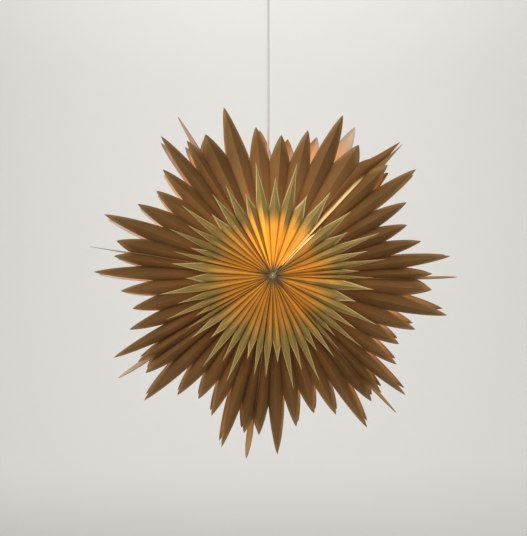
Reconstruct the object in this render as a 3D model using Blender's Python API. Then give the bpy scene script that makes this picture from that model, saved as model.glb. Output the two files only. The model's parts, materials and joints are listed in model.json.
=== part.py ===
"""Folded paper advent star of seven pleated sections, with a lamp inside, on a ceiling cord.

Metres, +Z up. The origin is the top face of the ceiling bracket, where the star hangs from.
The star's front faces -Y. Angles of the star run anticlockwise from +X as seen from the front.
"""

import math

import bmesh
import bpy
from mathutils import Matrix, Vector

# Where the star hangs

DROP = 0.664
STAR_X = 0.0091
CENTRE = Vector((STAR_X, 0.0, -DROP))

# Paper

PAPER = 0.0007
FIN_PAPER = 0.0004
FIN_GAP = 0.00015
SHEET_GAP = 0.0003
HUB_RADIUS = 0.004

# Big leaves: apex depth, depth of a valley and of a mountain at a radius, and outline radii

BIG_APEX = 0.046
BIG_VALLEY = (0.256, 0.030)
BIG_MOUNTAIN = (0.383, 0.058)
BIG_TIPS = (0.342, 0.383, 0.327, 0.308, 0.327, 0.383, 0.342)
BIG_NOTCHES = (0.2815, 0.2575, 0.252, 0.252, 0.2575, 0.2815)
BIG_END = 0.309
BIG_CURVE = 1.25
BIG_SHARES = (0.0, 0.36, 0.72, 1.0)

# Small leaves of the rosettes in front of them and behind them

SMALL_APEX = 0.056
SMALL_VALLEY = (0.136, 0.0615)
SMALL_MOUNTAIN = (0.245, 0.088)
SMALL_TIPS = (0.217, 0.186, 0.245, 0.211, 0.245, 0.186, 0.217)
SMALL_NOTCHES = (0.137, 0.149, 0.140, 0.140, 0.149, 0.137)
SMALL_END = 0.142
SMALL_CURVE = 0.72
SMALL_SHARES = (0.0, 0.5, 0.82, 1.0)

# End panels, one at each end of a section

FIN_HUB = 0.010
FIN_TIP = 0.401
FIN_SHOULDER = (0.160, 0.042)
FIN_WAIST = ((0.326, 0.0190), (0.346, 0.0125), (0.371, 0.0066), (0.391, 0.0025))
WINDOW_RADII = (0.030, 0.122)
WINDOW_HALF = 0.024
THREAD_RADIUS = 0.0142
THREAD_DEPTH = (BIG_APEX + PAPER + SMALL_APEX) / 2
THREAD_HOLE = 0.0011
THREAD_THICK = 0.0004

# Seven sections from the seam: skew and ease of the leaves of the small front sheet, of the big
# front sheet and of the two sheets behind

SPREADS = (
    ((0.14, 0.0), (0.03, -0.08), (0.01, -0.08)),
    ((0.34, 0.0), (-0.11, -0.23), (-0.13, -0.29)),
    ((0.46, 0.0), (0.06, -0.41), (0.16, -0.44)),
    ((0.12, 0.0), (0.04, -0.20), (0.06, -0.16)),
    ((0.07, 0.0), (0.01, -0.28), (0.07, -0.16)),
    ((-0.53, 0.0), (-0.26, -0.20), (-0.22, -0.33)),
    ((-0.53, 0.0), (-0.18, -0.27), (-0.06, -0.35)),
)
LAMP_SECTION_SCALE = 0.98

# Angles of the panels: at the small front sheet, at the big front sheet, in the middle, behind,
# and the further lean of the tip

BOUNDARIES = (
    (49.5, 52.0, 46.2, 44.8, 0.0),
    (122.0, 119.8, 120.8, 121.9, -0.26),
    (168.5, 170.7, 171.0, 171.5, 0.10),
    (213.6, 214.5, 213.6, 213.1, 0.60),
    (262.6, 262.4, 261.8, 261.3, 1.08),
    (310.3, 310.9, 312.1, 312.8, -0.20),
    (357.2, 358.6, 359.6, 359.2, -0.37),
    (404.5, 407.2, 405.3, 404.0, 0.0),
)

DOT_RADII = (0.285, 0.325)
DOT_DEPTHS = (-0.0125, -0.0010)
DOT_CLEAR = 0.0006
SEAM_STEP = 0.030

# Ceiling fitting and cord

PLATE_RADIUS = 0.030
PLATE_THICK = 0.0025
STEM_RADIUS = 0.005
STEM_END = -0.0200
SCREW_SPACING = 0.040
SCREW_HOLE = 0.0022
CUP_RADIUS = 0.043
CUP_TOP = -PLATE_THICK - 0.0004
CUP_HEIGHT = 0.052
CUP_WALL = 0.0016
FLEX_RADIUS = 0.0025
CUP_BORE = FLEX_RADIUS + 0.0005
CUP_NOSE = CUP_BORE + 0.0055
FLEX_END = -0.484
FLEX_POINTS = 46
JOINT_GAP = 0.0003

# Lamp, from the end of the cord down, all about the cord's axis

GRIP_RADIUS = 0.0058
GRIP_LENGTH = 0.013
CAP_RADIUS = 0.0140
CAP_LENGTH = 0.020
BODY_RADIUS = 0.0140
BODY_BORE = 0.0078
RING_RADIUS = 0.0185
RING_HEIGHT = 0.007
RING_DROP = 0.014
BODY_ROOF = 0.006
BLOCK_THICK = 0.004
TIP_HEIGHT = 0.0018
BULB_RADIUS = 0.0225
BULB_CAP_RADIUS = 0.0070
BULB_CAP_LENGTH = 0.0235
BODY_LENGTH = BODY_ROOF + BLOCK_THICK + TIP_HEIGHT + 3 * JOINT_GAP + BULB_CAP_LENGTH
BULB_LENGTH = 0.078
GLASS_WALL = 0.0009

# Wire hanger that carries the paper

WIRE_RADIUS = 0.0009
WIRE_PITCH = 0.0023
WIRE_STEPS = 30
HOOK_RADIUS = WINDOW_RADII[1] - WIRE_RADIUS - 0.0003


def clear_scene():
    """Remove whatever the opened file held."""
    for item in list(bpy.data.objects):
        bpy.data.objects.remove(item, do_unlink=True)


def material(name, colour, roughness, metallic=0.0):
    """Make one Principled material.

    Args:
        name: Name of the material.
        colour: Linear red, green and blue.
        roughness: Roughness from 0 to 1.
        metallic: Metallic value from 0 to 1.

    Returns:
        The material.
    """
    made = bpy.data.materials.new(name)
    made.use_nodes = True
    shader = made.node_tree.nodes["Principled BSDF"]
    shader.inputs["Base Color"].default_value = (*colour, 1.0)
    shader.inputs["Roughness"].default_value = roughness
    shader.inputs["Metallic"].default_value = metallic
    made.diffuse_color = (*colour, 1.0)
    return made


def add_object(name, bm, finish, pivot=Vector((0, 0, 0)), smooth=False):
    """Turn a bmesh, given in the row's frame, into a named object.

    Args:
        name: Name of the object, which is its node.
        bm: The bmesh, which is freed.
        finish: Its material.
        pivot: Where the object's origin lies.
        smooth: Whether the faces are shaded smooth.

    Returns:
        The object.
    """
    bmesh.ops.translate(bm, vec=-Vector(pivot), verts=bm.verts)
    bmesh.ops.recalc_face_normals(bm, faces=bm.faces)
    mesh = bpy.data.meshes.new(name)
    for face in bm.faces:
        face.smooth = smooth
    bm.to_mesh(mesh)
    bm.free()
    mesh.materials.append(finish)
    made = bpy.data.objects.new(name, mesh)
    made.location = pivot
    bpy.context.scene.collection.objects.link(made)
    return made


def cut(target, cutter):
    """Subtract a cutter from an object with an exact Boolean and keep the cutter hidden.

    Args:
        target: The object that is cut.
        cutter: The object that cuts it.
    """
    step = target.modifiers.new("cut_" + cutter.name, "BOOLEAN")
    step.operation = "DIFFERENCE"
    step.solver = "EXACT"
    step.object = cutter
    cutter.display_type = "WIRE"
    cutter.hide_render = True
    with bpy.context.temp_override(object=target, active_object=target):
        bpy.ops.object.modifier_apply(modifier=step.name)
    bpy.data.objects.remove(cutter, do_unlink=True)


def revolve(profile, centre, steps):
    """Spin a closed profile round a vertical axis.

    Args:
        profile: Pairs of radius and height, where a radius of 0 lies on the axis.
        centre: Point of the axis from which the heights count.
        steps: Number of segments round the axis.

    Returns:
        A bmesh of the closed body.
    """
    bm = bmesh.new()
    verts = [bm.verts.new(centre + Vector((r, 0, z))) for r, z in profile]
    closed = profile[0][0] > 0 or profile[-1][0] > 0
    edges = [bm.edges.new(pair) for pair in zip(verts, verts[1:])]
    if closed:
        edges.append(bm.edges.new((verts[-1], verts[0])))
    bmesh.ops.spin(
        bm,
        geom=verts + edges,
        cent=centre,
        axis=(0, 0, 1),
        angle=math.tau,
        steps=steps,
        use_merge=True,
    )
    bmesh.ops.remove_doubles(bm, verts=bm.verts, dist=1e-6)
    return bm


def tube(points, radius, sides, closed=False):
    """Sweep a round section along a line of points.

    Args:
        points: The points of the line.
        radius: Radius of the section.
        sides: Number of sides of the section.
        closed: Whether the line joins up with itself.

    Returns:
        A bmesh of the closed body.
    """
    bm = bmesh.new()
    count = len(points)
    rings = []
    up = None
    for i, point in enumerate(points):
        before = points[i - 1] if i or closed else point
        after = points[(i + 1) % count] if i + 1 < count or closed else point
        along = (after - before).normalized()
        if up is None:
            up = along.orthogonal().normalized()
        up = (up - along * up.dot(along)).normalized()
        side = along.cross(up)
        ring = []
        for k in range(sides):
            turn = math.tau * k / sides
            ring.append(bm.verts.new(point + (up * math.cos(turn) + side * math.sin(turn)) * radius))
        rings.append(ring)
    pairs = list(zip(rings, rings[1:]))
    if closed:
        pairs.append((rings[-1], rings[0]))
    for low, high in pairs:
        for k in range(sides):
            bm.faces.new((low[k], low[(k + 1) % sides], high[(k + 1) % sides], high[k]))
    if not closed:
        bm.faces.new(rings[0][::-1])
        bm.faces.new(rings[-1])
    return bm


def polar(radius, degrees, depth):
    """Point of the star at a radius, an angle seen from the front, and a depth towards the front."""
    turn = math.radians(degrees)
    return CENTRE + Vector((radius * math.cos(turn), -depth, radius * math.sin(turn)))


class Sheet:
    """One pleated sheet whose folds all run out from a point on the star's axis."""

    def __init__(self, name, start, end, spread, scale, small, rear):
        """Keep the sheet's place and pattern.

        Args:
            name: Name of the node.
            start: Angle at which the sheet starts, in degrees.
            end: Angle at which it ends, in degrees.
            spread: Skew and ease of the leaves: how far the middle ones stand off their even places,
                and how much narrower the outer ones are.
            scale: Size of the leaves against the common pattern.
            small: Whether this is a sheet of the small rosette.
            rear: Whether it lies behind.
        """
        self.name = name
        self.start = start
        self.end = end
        self.skew, self.ease = spread
        self.scale = scale
        self.rear = rear
        if small:
            self.apex, self.curve, self.shares = SMALL_APEX, SMALL_CURVE, SMALL_SHARES
            valley, mountain, end = SMALL_VALLEY, SMALL_MOUNTAIN, SMALL_END
            tips, notches = SMALL_TIPS, SMALL_NOTCHES
        else:
            self.apex, self.curve, self.shares = BIG_APEX, BIG_CURVE, BIG_SHARES
            valley, mountain, end = BIG_VALLEY, BIG_MOUNTAIN, BIG_END
            tips, notches = BIG_TIPS, BIG_NOTCHES
        radii = [end]
        for tip, notch in zip(tips, notches + (end,)):
            radii += [tip, notch]
        self.radii = [r * scale for r in radii]
        self.valley_slope = (valley[1] - self.apex) / valley[0]
        self.mountain_slope = (mountain[1] - self.apex) / mountain[0]

    def angle(self, share):
        """Angle of the fold at a share of the sheet's span."""
        shift = (self.skew + self.ease * (1 - 2 * share)) * share * (1 - share)
        return self.start + (self.end - self.start) * (share + shift)

    def direction(self, index):
        """Direction of a fold for one unit of radius, with its depth as a third number."""
        turn = math.radians(self.angle(index / (len(self.radii) - 1)))
        slope = self.mountain_slope if index % 2 else self.valley_slope
        return Vector((math.cos(turn), math.sin(turn), slope))

    def point(self, flat):
        """Row frame point of a point given as across, up and depth from the sheet's apex."""
        depth = self.apex + flat.z
        side = 1 if self.rear else -1
        return CENTRE + Vector((flat.x, side * depth, flat.y))

    def outline(self, index):
        """Outer edge of one face, from the fold at index to the next, in sheet coordinates."""
        first, second = self.direction(index), self.direction(index + 1)
        low, high = self.radii[index], self.radii[index + 1]
        rising = high > low
        notch, tip = min(low, high), max(low, high)
        row = []
        for share in self.shares:
            from_valley = share if rising else 1 - share
            reach = tip - (tip - notch) * (1 - from_valley) ** self.curve
            row.append((first * (1 - share) + second * share) * reach)
        return row

    def build(self, finish, pivot):
        """Model the sheet as a closed body of paper.

        Args:
            finish: Its material.
            pivot: Where the object's origin lies.

        Returns:
            The object.
        """
        bm = bmesh.new()
        made = {}

        def vertex(flat):
            key = tuple(round(value * 1e7) for value in flat)
            if key not in made:
                made[key] = bm.verts.new(self.point(flat))
            return made[key]

        for index in range(len(self.radii) - 1):
            inner = [self.direction(index + 1) * HUB_RADIUS, self.direction(index) * HUB_RADIUS]
            bm.faces.new([vertex(flat) for flat in self.outline(index) + inner])
        off = FIN_GAP + FIN_PAPER + SHEET_GAP
        for degrees, side in ((self.start, 1), (self.end, -1)):
            turn = math.radians(degrees)
            normal = Vector((-math.sin(turn), 0, math.cos(turn))) * side
            bmesh.ops.bisect_plane(
                bm,
                geom=bm.verts[:] + bm.edges[:] + bm.faces[:],
                plane_co=CENTRE + normal * off,
                plane_no=normal,
                clear_inner=True,
            )
        grown = bmesh.ops.extrude_face_region(bm, geom=bm.faces[:])
        moved = [item for item in grown["geom"] if isinstance(item, bmesh.types.BMVert)]
        step = PAPER if self.rear else -PAPER
        bmesh.ops.translate(bm, vec=(0, step, 0), verts=moved)
        return add_object(self.name, bm, finish, pivot)


class Fin:
    """One end panel, which leans a little from front to rear as the paper of its boundary does."""

    def __init__(self, name, angles, side, at_seam=False):
        """Keep the panel's place.

        Args:
            name: Name of the node.
            angles: The boundary's four angles and the lean of its tip, as in BOUNDARIES.
            side: 1 if its section lies anticlockwise of it, -1 if clockwise.
            at_seam: Whether the panel is one of the two at the open seam.
        """
        self.name = name
        self.side = side
        self.at_seam = at_seam
        small, big, middle, rear, self.tip_lean = angles
        edge = BIG_APEX + (BIG_VALLEY[1] - BIG_APEX) * BIG_END / BIG_VALLEY[0]
        self.lean = (
            (SMALL_MOUNTAIN[1], small),
            (SMALL_APEX - 0.001, small),
            (BIG_APEX + 0.001, big),
            (edge, big),
            (0.0, middle),
            (-edge, rear),
            (-SMALL_MOUNTAIN[1], rear),
        )

    def angle(self, depth, radius=0.0):
        """Angle of the panel at a depth, and beyond the leaves at a radius too."""
        outside = max(0.0, radius - BIG_END) / (FIN_TIP - BIG_END)
        further = self.tip_lean * outside * depth / FIN_WAIST[2][1]
        for (high, first), (low, second) in zip(self.lean, self.lean[1:]):
            if low <= depth <= high:
                return first + (second - first) * (high - depth) / (high - low) + further
        return self.lean[0][1] if depth > 0 else self.lean[-1][1]

    def across(self):
        """Direction from the boundary into the panel's own section."""
        turn = math.radians(self.angle(0.0))
        return Vector((-math.sin(turn), 0, math.cos(turn))) * self.side

    def outline(self):
        """Half outline as pairs of radius and depth, from the hub to the tip."""
        small = (SMALL_VALLEY[1] - SMALL_APEX) / SMALL_VALLEY[0]
        big = (BIG_VALLEY[1] - BIG_APEX) / BIG_VALLEY[0]
        return (
            (FIN_HUB, SMALL_APEX + small * FIN_HUB),
            (SMALL_END, SMALL_APEX + small * SMALL_END),
            FIN_SHOULDER,
            (BIG_END, BIG_APEX + big * BIG_END),
            *FIN_WAIST,
            (FIN_TIP, 0.0),
        )

    def build(self, finish, pivot):
        """Model the panel as a closed body of paper with its light window and thread holes.

        Args:
            finish: Its material.
            pivot: Where the object's origin lies.

        Returns:
            The object.
        """
        half = self.outline()
        flat = [Vector((r, d, 0)) for r, d in half] + [Vector((r, -d, 0)) for r, d in half[-2::-1]]
        bm = bmesh.new()
        bm.faces.new([bm.verts.new(point) for point in flat])
        for depth, _ in self.lean[1:-1]:
            bmesh.ops.bisect_plane(
                bm,
                geom=bm.verts[:] + bm.edges[:] + bm.faces[:],
                plane_co=(0, depth, 0),
                plane_no=(0, 1, 0),
            )
        for step in range(1, int(FIN_TIP / SEAM_STEP) + 1 if self.at_seam else 1):
            bmesh.ops.bisect_plane(
                bm,
                geom=bm.verts[:] + bm.edges[:] + bm.faces[:],
                plane_co=(step * SEAM_STEP, 0, 0),
                plane_no=(1, 0, 0),
            )
        for vert in bm.verts:
            vert.co = polar(vert.co.x, self.angle(vert.co.y, vert.co.x), vert.co.y)
        bmesh.ops.triangulate(bm, faces=bm.faces[:], quad_method="FIXED")
        bmesh.ops.translate(bm, vec=self.across() * FIN_GAP, verts=bm.verts)
        grown = bmesh.ops.extrude_face_region(bm, geom=bm.faces[:])
        moved = [item for item in grown["geom"] if isinstance(item, bmesh.types.BMVert)]
        bmesh.ops.translate(bm, vec=self.across() * FIN_PAPER, verts=moved)
        made = add_object(self.name, bm, finish, pivot)
        cut(made, self.window_cutter())
        for sign in (1, -1):
            cut(made, self.hole_cutter(sign * THREAD_DEPTH))
        return made

    def window_cutter(self):
        """Rounded block that cuts the light window."""
        near, far = WINDOW_RADII
        reach = 0.022 if self.at_seam else 0.008
        turn = math.radians(self.angle(0.0))
        bm = bmesh.new()
        bmesh.ops.create_cube(bm, size=1.0)
        bmesh.ops.scale(bm, vec=(far - near, 2 * WINDOW_HALF, 2 * reach), verts=bm.verts)
        edges = [edge for edge in bm.edges if abs(edge.verts[0].co.z - edge.verts[1].co.z) > reach]
        bmesh.ops.bevel(bm, geom=edges, offset=0.008, segments=2, profile=0.5, affect="EDGES")
        bmesh.ops.translate(bm, vec=((near + far) / 2, 0, 0), verts=bm.verts)
        out = Vector((math.cos(turn), 0, math.sin(turn)))
        frame = Matrix((out, Vector((0, -1, 0)), out.cross(Vector((0, -1, 0))))).transposed()
        bmesh.ops.transform(bm, matrix=Matrix.Translation(CENTRE) @ frame.to_4x4(), verts=bm.verts)
        return add_object(self.name + "_window_cutter", bm, bpy.data.materials["cutter"])

    def hole_cutter(self, depth):
        """Small cylinder that cuts the hole for the binding thread."""
        turn = math.radians(self.angle(depth))
        bm = bmesh.new()
        bmesh.ops.create_cone(
            bm, cap_ends=True, segments=8, radius1=THREAD_HOLE, radius2=THREAD_HOLE, depth=0.005
        )
        along = Vector((-math.sin(turn), 0, math.cos(turn)))
        spin = Vector((0, 0, 1)).rotation_difference(along).to_matrix().to_4x4()
        place = Matrix.Translation(polar(THREAD_RADIUS, self.angle(depth), depth))
        bmesh.ops.transform(bm, matrix=place @ spin, verts=bm.verts)
        return add_object(self.name + "_hole_cutter", bm, bpy.data.materials["cutter"])


def build_sections(finishes):
    """Model the seven pleated sections, each with four sheets and two end panels.

    Args:
        finishes: Materials by name.
    """
    last = len(SPREADS)
    for number, (small_spread, big_spread, rear_spread) in enumerate(SPREADS, 1):
        begin, end = BOUNDARIES[number - 1], BOUNDARIES[number]
        scale = LAMP_SECTION_SCALE if number == 1 else 1.0
        for key, place, spread in (
            ("front_small", 0, small_spread),
            ("front_big", 1, big_spread),
            ("rear_small", 3, rear_spread),
            ("rear_big", 3, rear_spread),
        ):
            rear, small = key.startswith("rear"), key.endswith("small")
            size = 1.0 if small else scale
            name = f"section_{number}_{key}"
            sheet = Sheet(name, begin[place], end[place], spread, size, small, rear)
            sheet.build(finishes["small_paper" if small else "big_paper"], CENTRE)
        first = Fin(f"section_{number}_start_panel", begin, 1, number == 1)
        second = Fin(f"section_{number}_end_panel", end, -1, number == last)
        first.build(finishes["panel_paper"], CENTRE)
        second.build(finishes["panel_paper"], CENTRE)


def build_binding(finishes):
    """Model the two rings of thread that bind the panels near the hub.

    Args:
        finishes: Materials by name.
    """
    for name, depth in (("binding_thread_front", THREAD_DEPTH), ("binding_thread_rear", -THREAD_DEPTH)):
        points = [polar(THREAD_RADIUS, 360 * i / 24, depth) for i in range(24)]
        add_object(name, tube(points, THREAD_THICK, 5, closed=True), finishes["thread"], CENTRE, True)


def seam_point(angles, radius, depth):
    """Point on one of the seam's panels."""
    panel = Fin("seam", angles, 1)
    return polar(radius, panel.angle(depth), depth)


def build_seam_dots(finishes):
    """Model the hook pad and the loop pad that close the seam.

    Args:
        finishes: Materials by name.
    """
    corners = []
    for radius, depth in (
        (DOT_RADII[0], DOT_DEPTHS[0]),
        (DOT_RADII[1], DOT_DEPTHS[0]),
        (DOT_RADII[1], DOT_DEPTHS[1]),
        (DOT_RADII[0], DOT_DEPTHS[1]),
    ):
        corners.append((seam_point(BOUNDARIES[-1], radius, depth), seam_point(BOUNDARIES[0], radius, depth)))
    turn = math.radians(BOUNDARIES[0][2])
    across = Vector((-math.sin(turn), 0, math.cos(turn)))
    for name, near, far in (("seam_pad_loop", 0.0, 0.46), ("seam_pad_hook", 0.54, 1.0)):
        bm = bmesh.new()
        low, high = [], []
        for first, second in corners:
            gap = (second - first).dot(across)
            floor, roof = DOT_CLEAR, gap - DOT_CLEAR
            low.append(bm.verts.new(first + across * (floor + (roof - floor) * near)))
            high.append(bm.verts.new(first + across * (floor + (roof - floor) * far)))
        bm.faces.new(low)
        bm.faces.new(high)
        for i in range(4):
            k = (i + 1) % 4
            bm.faces.new((low[i], low[k], high[k], high[i]))
        bmesh.ops.triangulate(bm, faces=bm.faces[:])
        add_object(name, bm, finishes["pad"], CENTRE)


def build_ceiling(finishes):
    """Model the bracket that is screwed to the ceiling and the cup that hides it.

    Args:
        finishes: Materials by name.
    """
    low = -PLATE_THICK
    profile = (
        (0, 0),
        (PLATE_RADIUS, 0),
        (PLATE_RADIUS, low),
        (STEM_RADIUS, low),
        (STEM_RADIUS, STEM_END),
        (0, STEM_END),
    )
    bracket = add_object("ceiling_bracket", revolve(profile, Vector(), 32), finishes["steel"], smooth=False)
    for x in (-SCREW_SPACING / 2, SCREW_SPACING / 2):
        bm = bmesh.new()
        bmesh.ops.create_cone(
            bm, cap_ends=True, segments=16, radius1=SCREW_HOLE, radius2=SCREW_HOLE, depth=0.02
        )
        bmesh.ops.translate(bm, vec=(x, 0, 0), verts=bm.verts)
        cut(bracket, add_object("screw_cutter", bm, bpy.data.materials["cutter"]))
    floor = -CUP_HEIGHT
    outer = (
        (CUP_RADIUS, 0.0),
        (CUP_RADIUS, floor * 0.23),
        (CUP_RADIUS * 0.93, floor * 0.50),
        (CUP_RADIUS * 0.72, floor * 0.73),
        (CUP_RADIUS * 0.40, floor * 0.875),
        (CUP_NOSE, floor * 0.915),
        (CUP_NOSE, floor),
    )
    inner = (
        (CUP_BORE, floor),
        (CUP_BORE, floor * 0.915 + CUP_WALL * 1.4),
        (CUP_RADIUS * 0.40 - CUP_WALL, floor * 0.875 + CUP_WALL),
        (CUP_RADIUS * 0.72 - CUP_WALL, floor * 0.73 + CUP_WALL),
        (CUP_RADIUS * 0.93 - CUP_WALL, floor * 0.50 + CUP_WALL * 0.6),
        (CUP_RADIUS - CUP_WALL, floor * 0.23),
        (CUP_RADIUS - CUP_WALL, 0.0),
    )
    cup = revolve(outer + inner, Vector((0, 0, CUP_TOP)), 28)
    add_object("ceiling_cup", cup, finishes["plastic"], smooth=True)


def build_cord(finishes):
    """Model the taut flex from the ceiling bracket down to the lampholder.

    Args:
        finishes: Materials by name.
    """
    top = STEM_END - JOINT_GAP
    curve = bpy.data.curves.new("flex", "CURVE")
    curve.dimensions = "3D"
    curve.bevel_depth = FLEX_RADIUS
    curve.bevel_resolution = 2
    curve.use_fill_caps = True
    line = curve.splines.new("POLY")
    line.points.add(FLEX_POINTS - 1)
    for i, point in enumerate(line.points):
        point.co = (0.0, 0.0, top + (FLEX_END - top) * i / (FLEX_POINTS - 1), 1.0)
    curve.materials.append(finishes["flex"])
    flex = bpy.data.objects.new("flex", curve)
    bpy.context.scene.collection.objects.link(flex)


def build_lamp(finishes):
    """Model the lampholder, its clamping ring and the bulb.

    Args:
        finishes: Materials by name.
    """
    grip_top = FLEX_END - JOINT_GAP
    cap_top = grip_top - GRIP_LENGTH - JOINT_GAP
    body_top = cap_top - CAP_LENGTH - JOINT_GAP
    body_end = body_top - BODY_LENGTH
    grip = ((0, 0), (GRIP_RADIUS * 0.8, 0), (GRIP_RADIUS, -0.002), (GRIP_RADIUS, -GRIP_LENGTH), (0, -GRIP_LENGTH))
    add_object("cord_grip", revolve(grip, Vector((0, 0, grip_top)), 16), finishes["holder"], smooth=True)
    cap = (
        (0, 0),
        (GRIP_RADIUS + 0.001, 0),
        (CAP_RADIUS * 0.85, -0.004),
        (CAP_RADIUS, -0.010),
        (CAP_RADIUS, -CAP_LENGTH),
        (0, -CAP_LENGTH),
    )
    add_object("lampholder_cap", revolve(cap, Vector((0, 0, cap_top)), 24), finishes["holder"], smooth=True)
    neck = -BODY_LENGTH
    roof = -BODY_ROOF
    body = (
        (0, 0),
        (BODY_RADIUS, 0),
        (BODY_RADIUS, neck + 0.002),
        (BODY_RADIUS - 0.0015, neck),
        (BODY_BORE, neck),
        (BODY_BORE, roof),
        (0, roof),
    )
    add_object("lampholder_body", revolve(body, Vector((0, 0, body_top)), 24), finishes["holder"], smooth=True)
    ring = (
        (BODY_RADIUS + JOINT_GAP, 0),
        (RING_RADIUS, 0),
        (RING_RADIUS, -RING_HEIGHT),
        (BODY_RADIUS + JOINT_GAP, -RING_HEIGHT),
    )
    ring_top = body_top - RING_DROP
    add_object("shade_ring", revolve(ring, Vector((0, 0, ring_top)), 24), finishes["holder"], smooth=True)
    block_top = body_top + roof - JOINT_GAP
    block = (
        (0, 0),
        (BODY_BORE - JOINT_GAP, 0),
        (BODY_BORE - JOINT_GAP, -BLOCK_THICK),
        (0, -BLOCK_THICK),
    )
    add_object("contact_block", revolve(block, Vector((0, 0, block_top)), 20), finishes["ceramic"], smooth=True)
    bulb_top = block_top - BLOCK_THICK - JOINT_GAP
    tip = ((0, 0), (0.0030, -0.0004), (0.0040, -TIP_HEIGHT), (0, -TIP_HEIGHT))
    pivot = Vector((0, 0, bulb_top))
    add_object("bulb_tip", revolve(tip, pivot, 16), finishes["brass"], pivot, True)
    shell_top = -TIP_HEIGHT - JOINT_GAP
    shell_end = shell_top - BULB_CAP_LENGTH
    shell = [(0.0, shell_top), (0.0045, shell_top)]
    crests = 5
    for i in range(crests):
        z = shell_top - 0.003 - 0.0034 * i
        shell += [(BULB_CAP_RADIUS - 0.0006, z), (BULB_CAP_RADIUS, z - 0.0017)]
    shell += [(BULB_CAP_RADIUS - 0.0004, shell_end + 0.001), (BULB_CAP_RADIUS - 0.0004, shell_end), (0.0, shell_end)]
    add_object("bulb_cap", revolve(shell, pivot, 20), finishes["brass"], pivot, True)
    glass_top = shell_end - JOINT_GAP
    middle = -BULB_LENGTH + BULB_RADIUS
    outer = [(0.0068, glass_top), (0.0085, glass_top - 0.006)]
    for i in range(9):
        turn = math.radians(58 - 148 * i / 8)
        outer.append((BULB_RADIUS * math.cos(turn), middle + BULB_RADIUS * math.sin(turn)))
    outer[-1] = (0.0, -BULB_LENGTH)
    inner = [(0.0, -BULB_LENGTH + GLASS_WALL)]
    for i in range(7, -1, -1):
        turn = math.radians(58 - 148 * i / 8)
        radius = BULB_RADIUS - GLASS_WALL
        inner.append((radius * math.cos(turn), middle + radius * math.sin(turn)))
    inner += [(0.0085 - GLASS_WALL, glass_top - 0.0062), (0.0068 - GLASS_WALL, glass_top)]
    add_object("bulb_glass", glass_shell(outer, inner, pivot), finishes["glass"], pivot, True)


def glass_shell(outer, inner, centre):
    """Spin the open glass of the bulb, whose outer and inner lines both end on the axis."""
    bm = bmesh.new()
    rows = []
    for line in (outer, inner):
        rows.append([bm.verts.new(centre + Vector((r, 0, z))) for r, z in line])
    edges = [bm.edges.new(pair) for row in rows for pair in zip(row, row[1:])]
    edges.append(bm.edges.new((rows[0][0], rows[1][-1])))
    bmesh.ops.spin(
        bm,
        geom=rows[0] + rows[1] + edges,
        cent=centre,
        axis=(0, 0, 1),
        angle=math.tau,
        steps=24,
        use_merge=True,
    )
    bmesh.ops.remove_doubles(bm, verts=bm.verts, dist=1e-6)
    return bm


def build_hanger(finishes):
    """Model the wire that sits under the clamping ring and carries the paper by two windows.

    Args:
        finishes: Materials by name.
    """
    cap_top = FLEX_END - 2 * JOINT_GAP - GRIP_LENGTH
    ring_end = cap_top - CAP_LENGTH - JOINT_GAP - RING_DROP - RING_HEIGHT
    level = ring_end - JOINT_GAP - WIRE_RADIUS
    reach = BODY_RADIUS + JOINT_GAP + WIRE_RADIUS
    left = BOUNDARIES[1][2]
    points = []
    foot = polar(HOOK_RADIUS, left, 0.0)
    turn = math.radians(left)
    inward = Vector((math.sin(turn), 0, -math.cos(turn)))
    points += [foot - inward * 0.0045 + Vector((0, 0, 0.0035)), foot - inward * 0.0035, foot]
    points += [foot + inward * 0.006]
    for i in range(WIRE_STEPS + 1):
        turn = math.pi + 3 * math.pi * i / WIRE_STEPS
        drop = 1.5 * WIRE_PITCH * i / WIRE_STEPS
        points.append(Vector((reach * math.cos(turn), reach * math.sin(turn), level - drop)))
    seam = Fin("seam", BOUNDARIES[0], 1)
    foot = polar(HOOK_RADIUS, seam.angle(0.0), 0.0)
    turn = math.radians(seam.angle(0.0))
    inward = Vector((-math.sin(turn), 0, math.cos(turn)))
    points += [foot + inward * 0.006, foot, foot - inward * 0.0022]
    add_object("wire_hanger", tube(points, WIRE_RADIUS, 8), finishes["steel"], smooth=True)


def main():
    """Model the whole star in order."""
    clear_scene()
    material("cutter", (1.0, 0.2, 0.2), 0.5)
    finishes = {
        "big_paper": material("big_paper", (0.42, 0.25, 0.07), 0.75),
        "small_paper": material("small_paper", (0.50, 0.36, 0.12), 0.75),
        "panel_paper": material("panel_paper", (0.40, 0.22, 0.06), 0.75),
        "thread": material("thread", (0.85, 0.80, 0.70), 0.8),
        "pad": material("pad", (0.88, 0.88, 0.85), 0.8),
        "steel": material("steel", (0.60, 0.60, 0.60), 0.35, 1.0),
        "plastic": material("plastic", (0.88, 0.88, 0.86), 0.4),
        "flex": material("flex", (0.88, 0.88, 0.86), 0.4),
        "holder": material("holder", (0.88, 0.88, 0.86), 0.4),
        "ceramic": material("ceramic", (0.85, 0.83, 0.78), 0.5),
        "brass": material("brass", (0.80, 0.62, 0.30), 0.3, 1.0),
        "glass": material("glass", (1.0, 0.86, 0.62), 0.2),
    }
    build_ceiling(finishes)
    build_cord(finishes)
    build_lamp(finishes)
    build_hanger(finishes)
    build_sections(finishes)
    build_binding(finishes)
    build_seam_dots(finishes)
    bpy.data.materials.remove(bpy.data.materials["cutter"])


if __name__ == "__main__":
    main()
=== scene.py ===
"""Looks of the paper advent star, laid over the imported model.

Metres, +Z up. The star's front faces -Y, and angles of the star run anticlockwise from +X as seen
from the front. Each piece of paper, the cord and each round part is modelled here again in finer
form and stands for its CAD node. The other CAD solids stay and get materials.
"""

import json
import logging
import math
import random
from collections.abc import Iterator
from contextlib import contextmanager
from dataclasses import dataclass
from enum import Enum
from functools import cache, reduce

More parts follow.
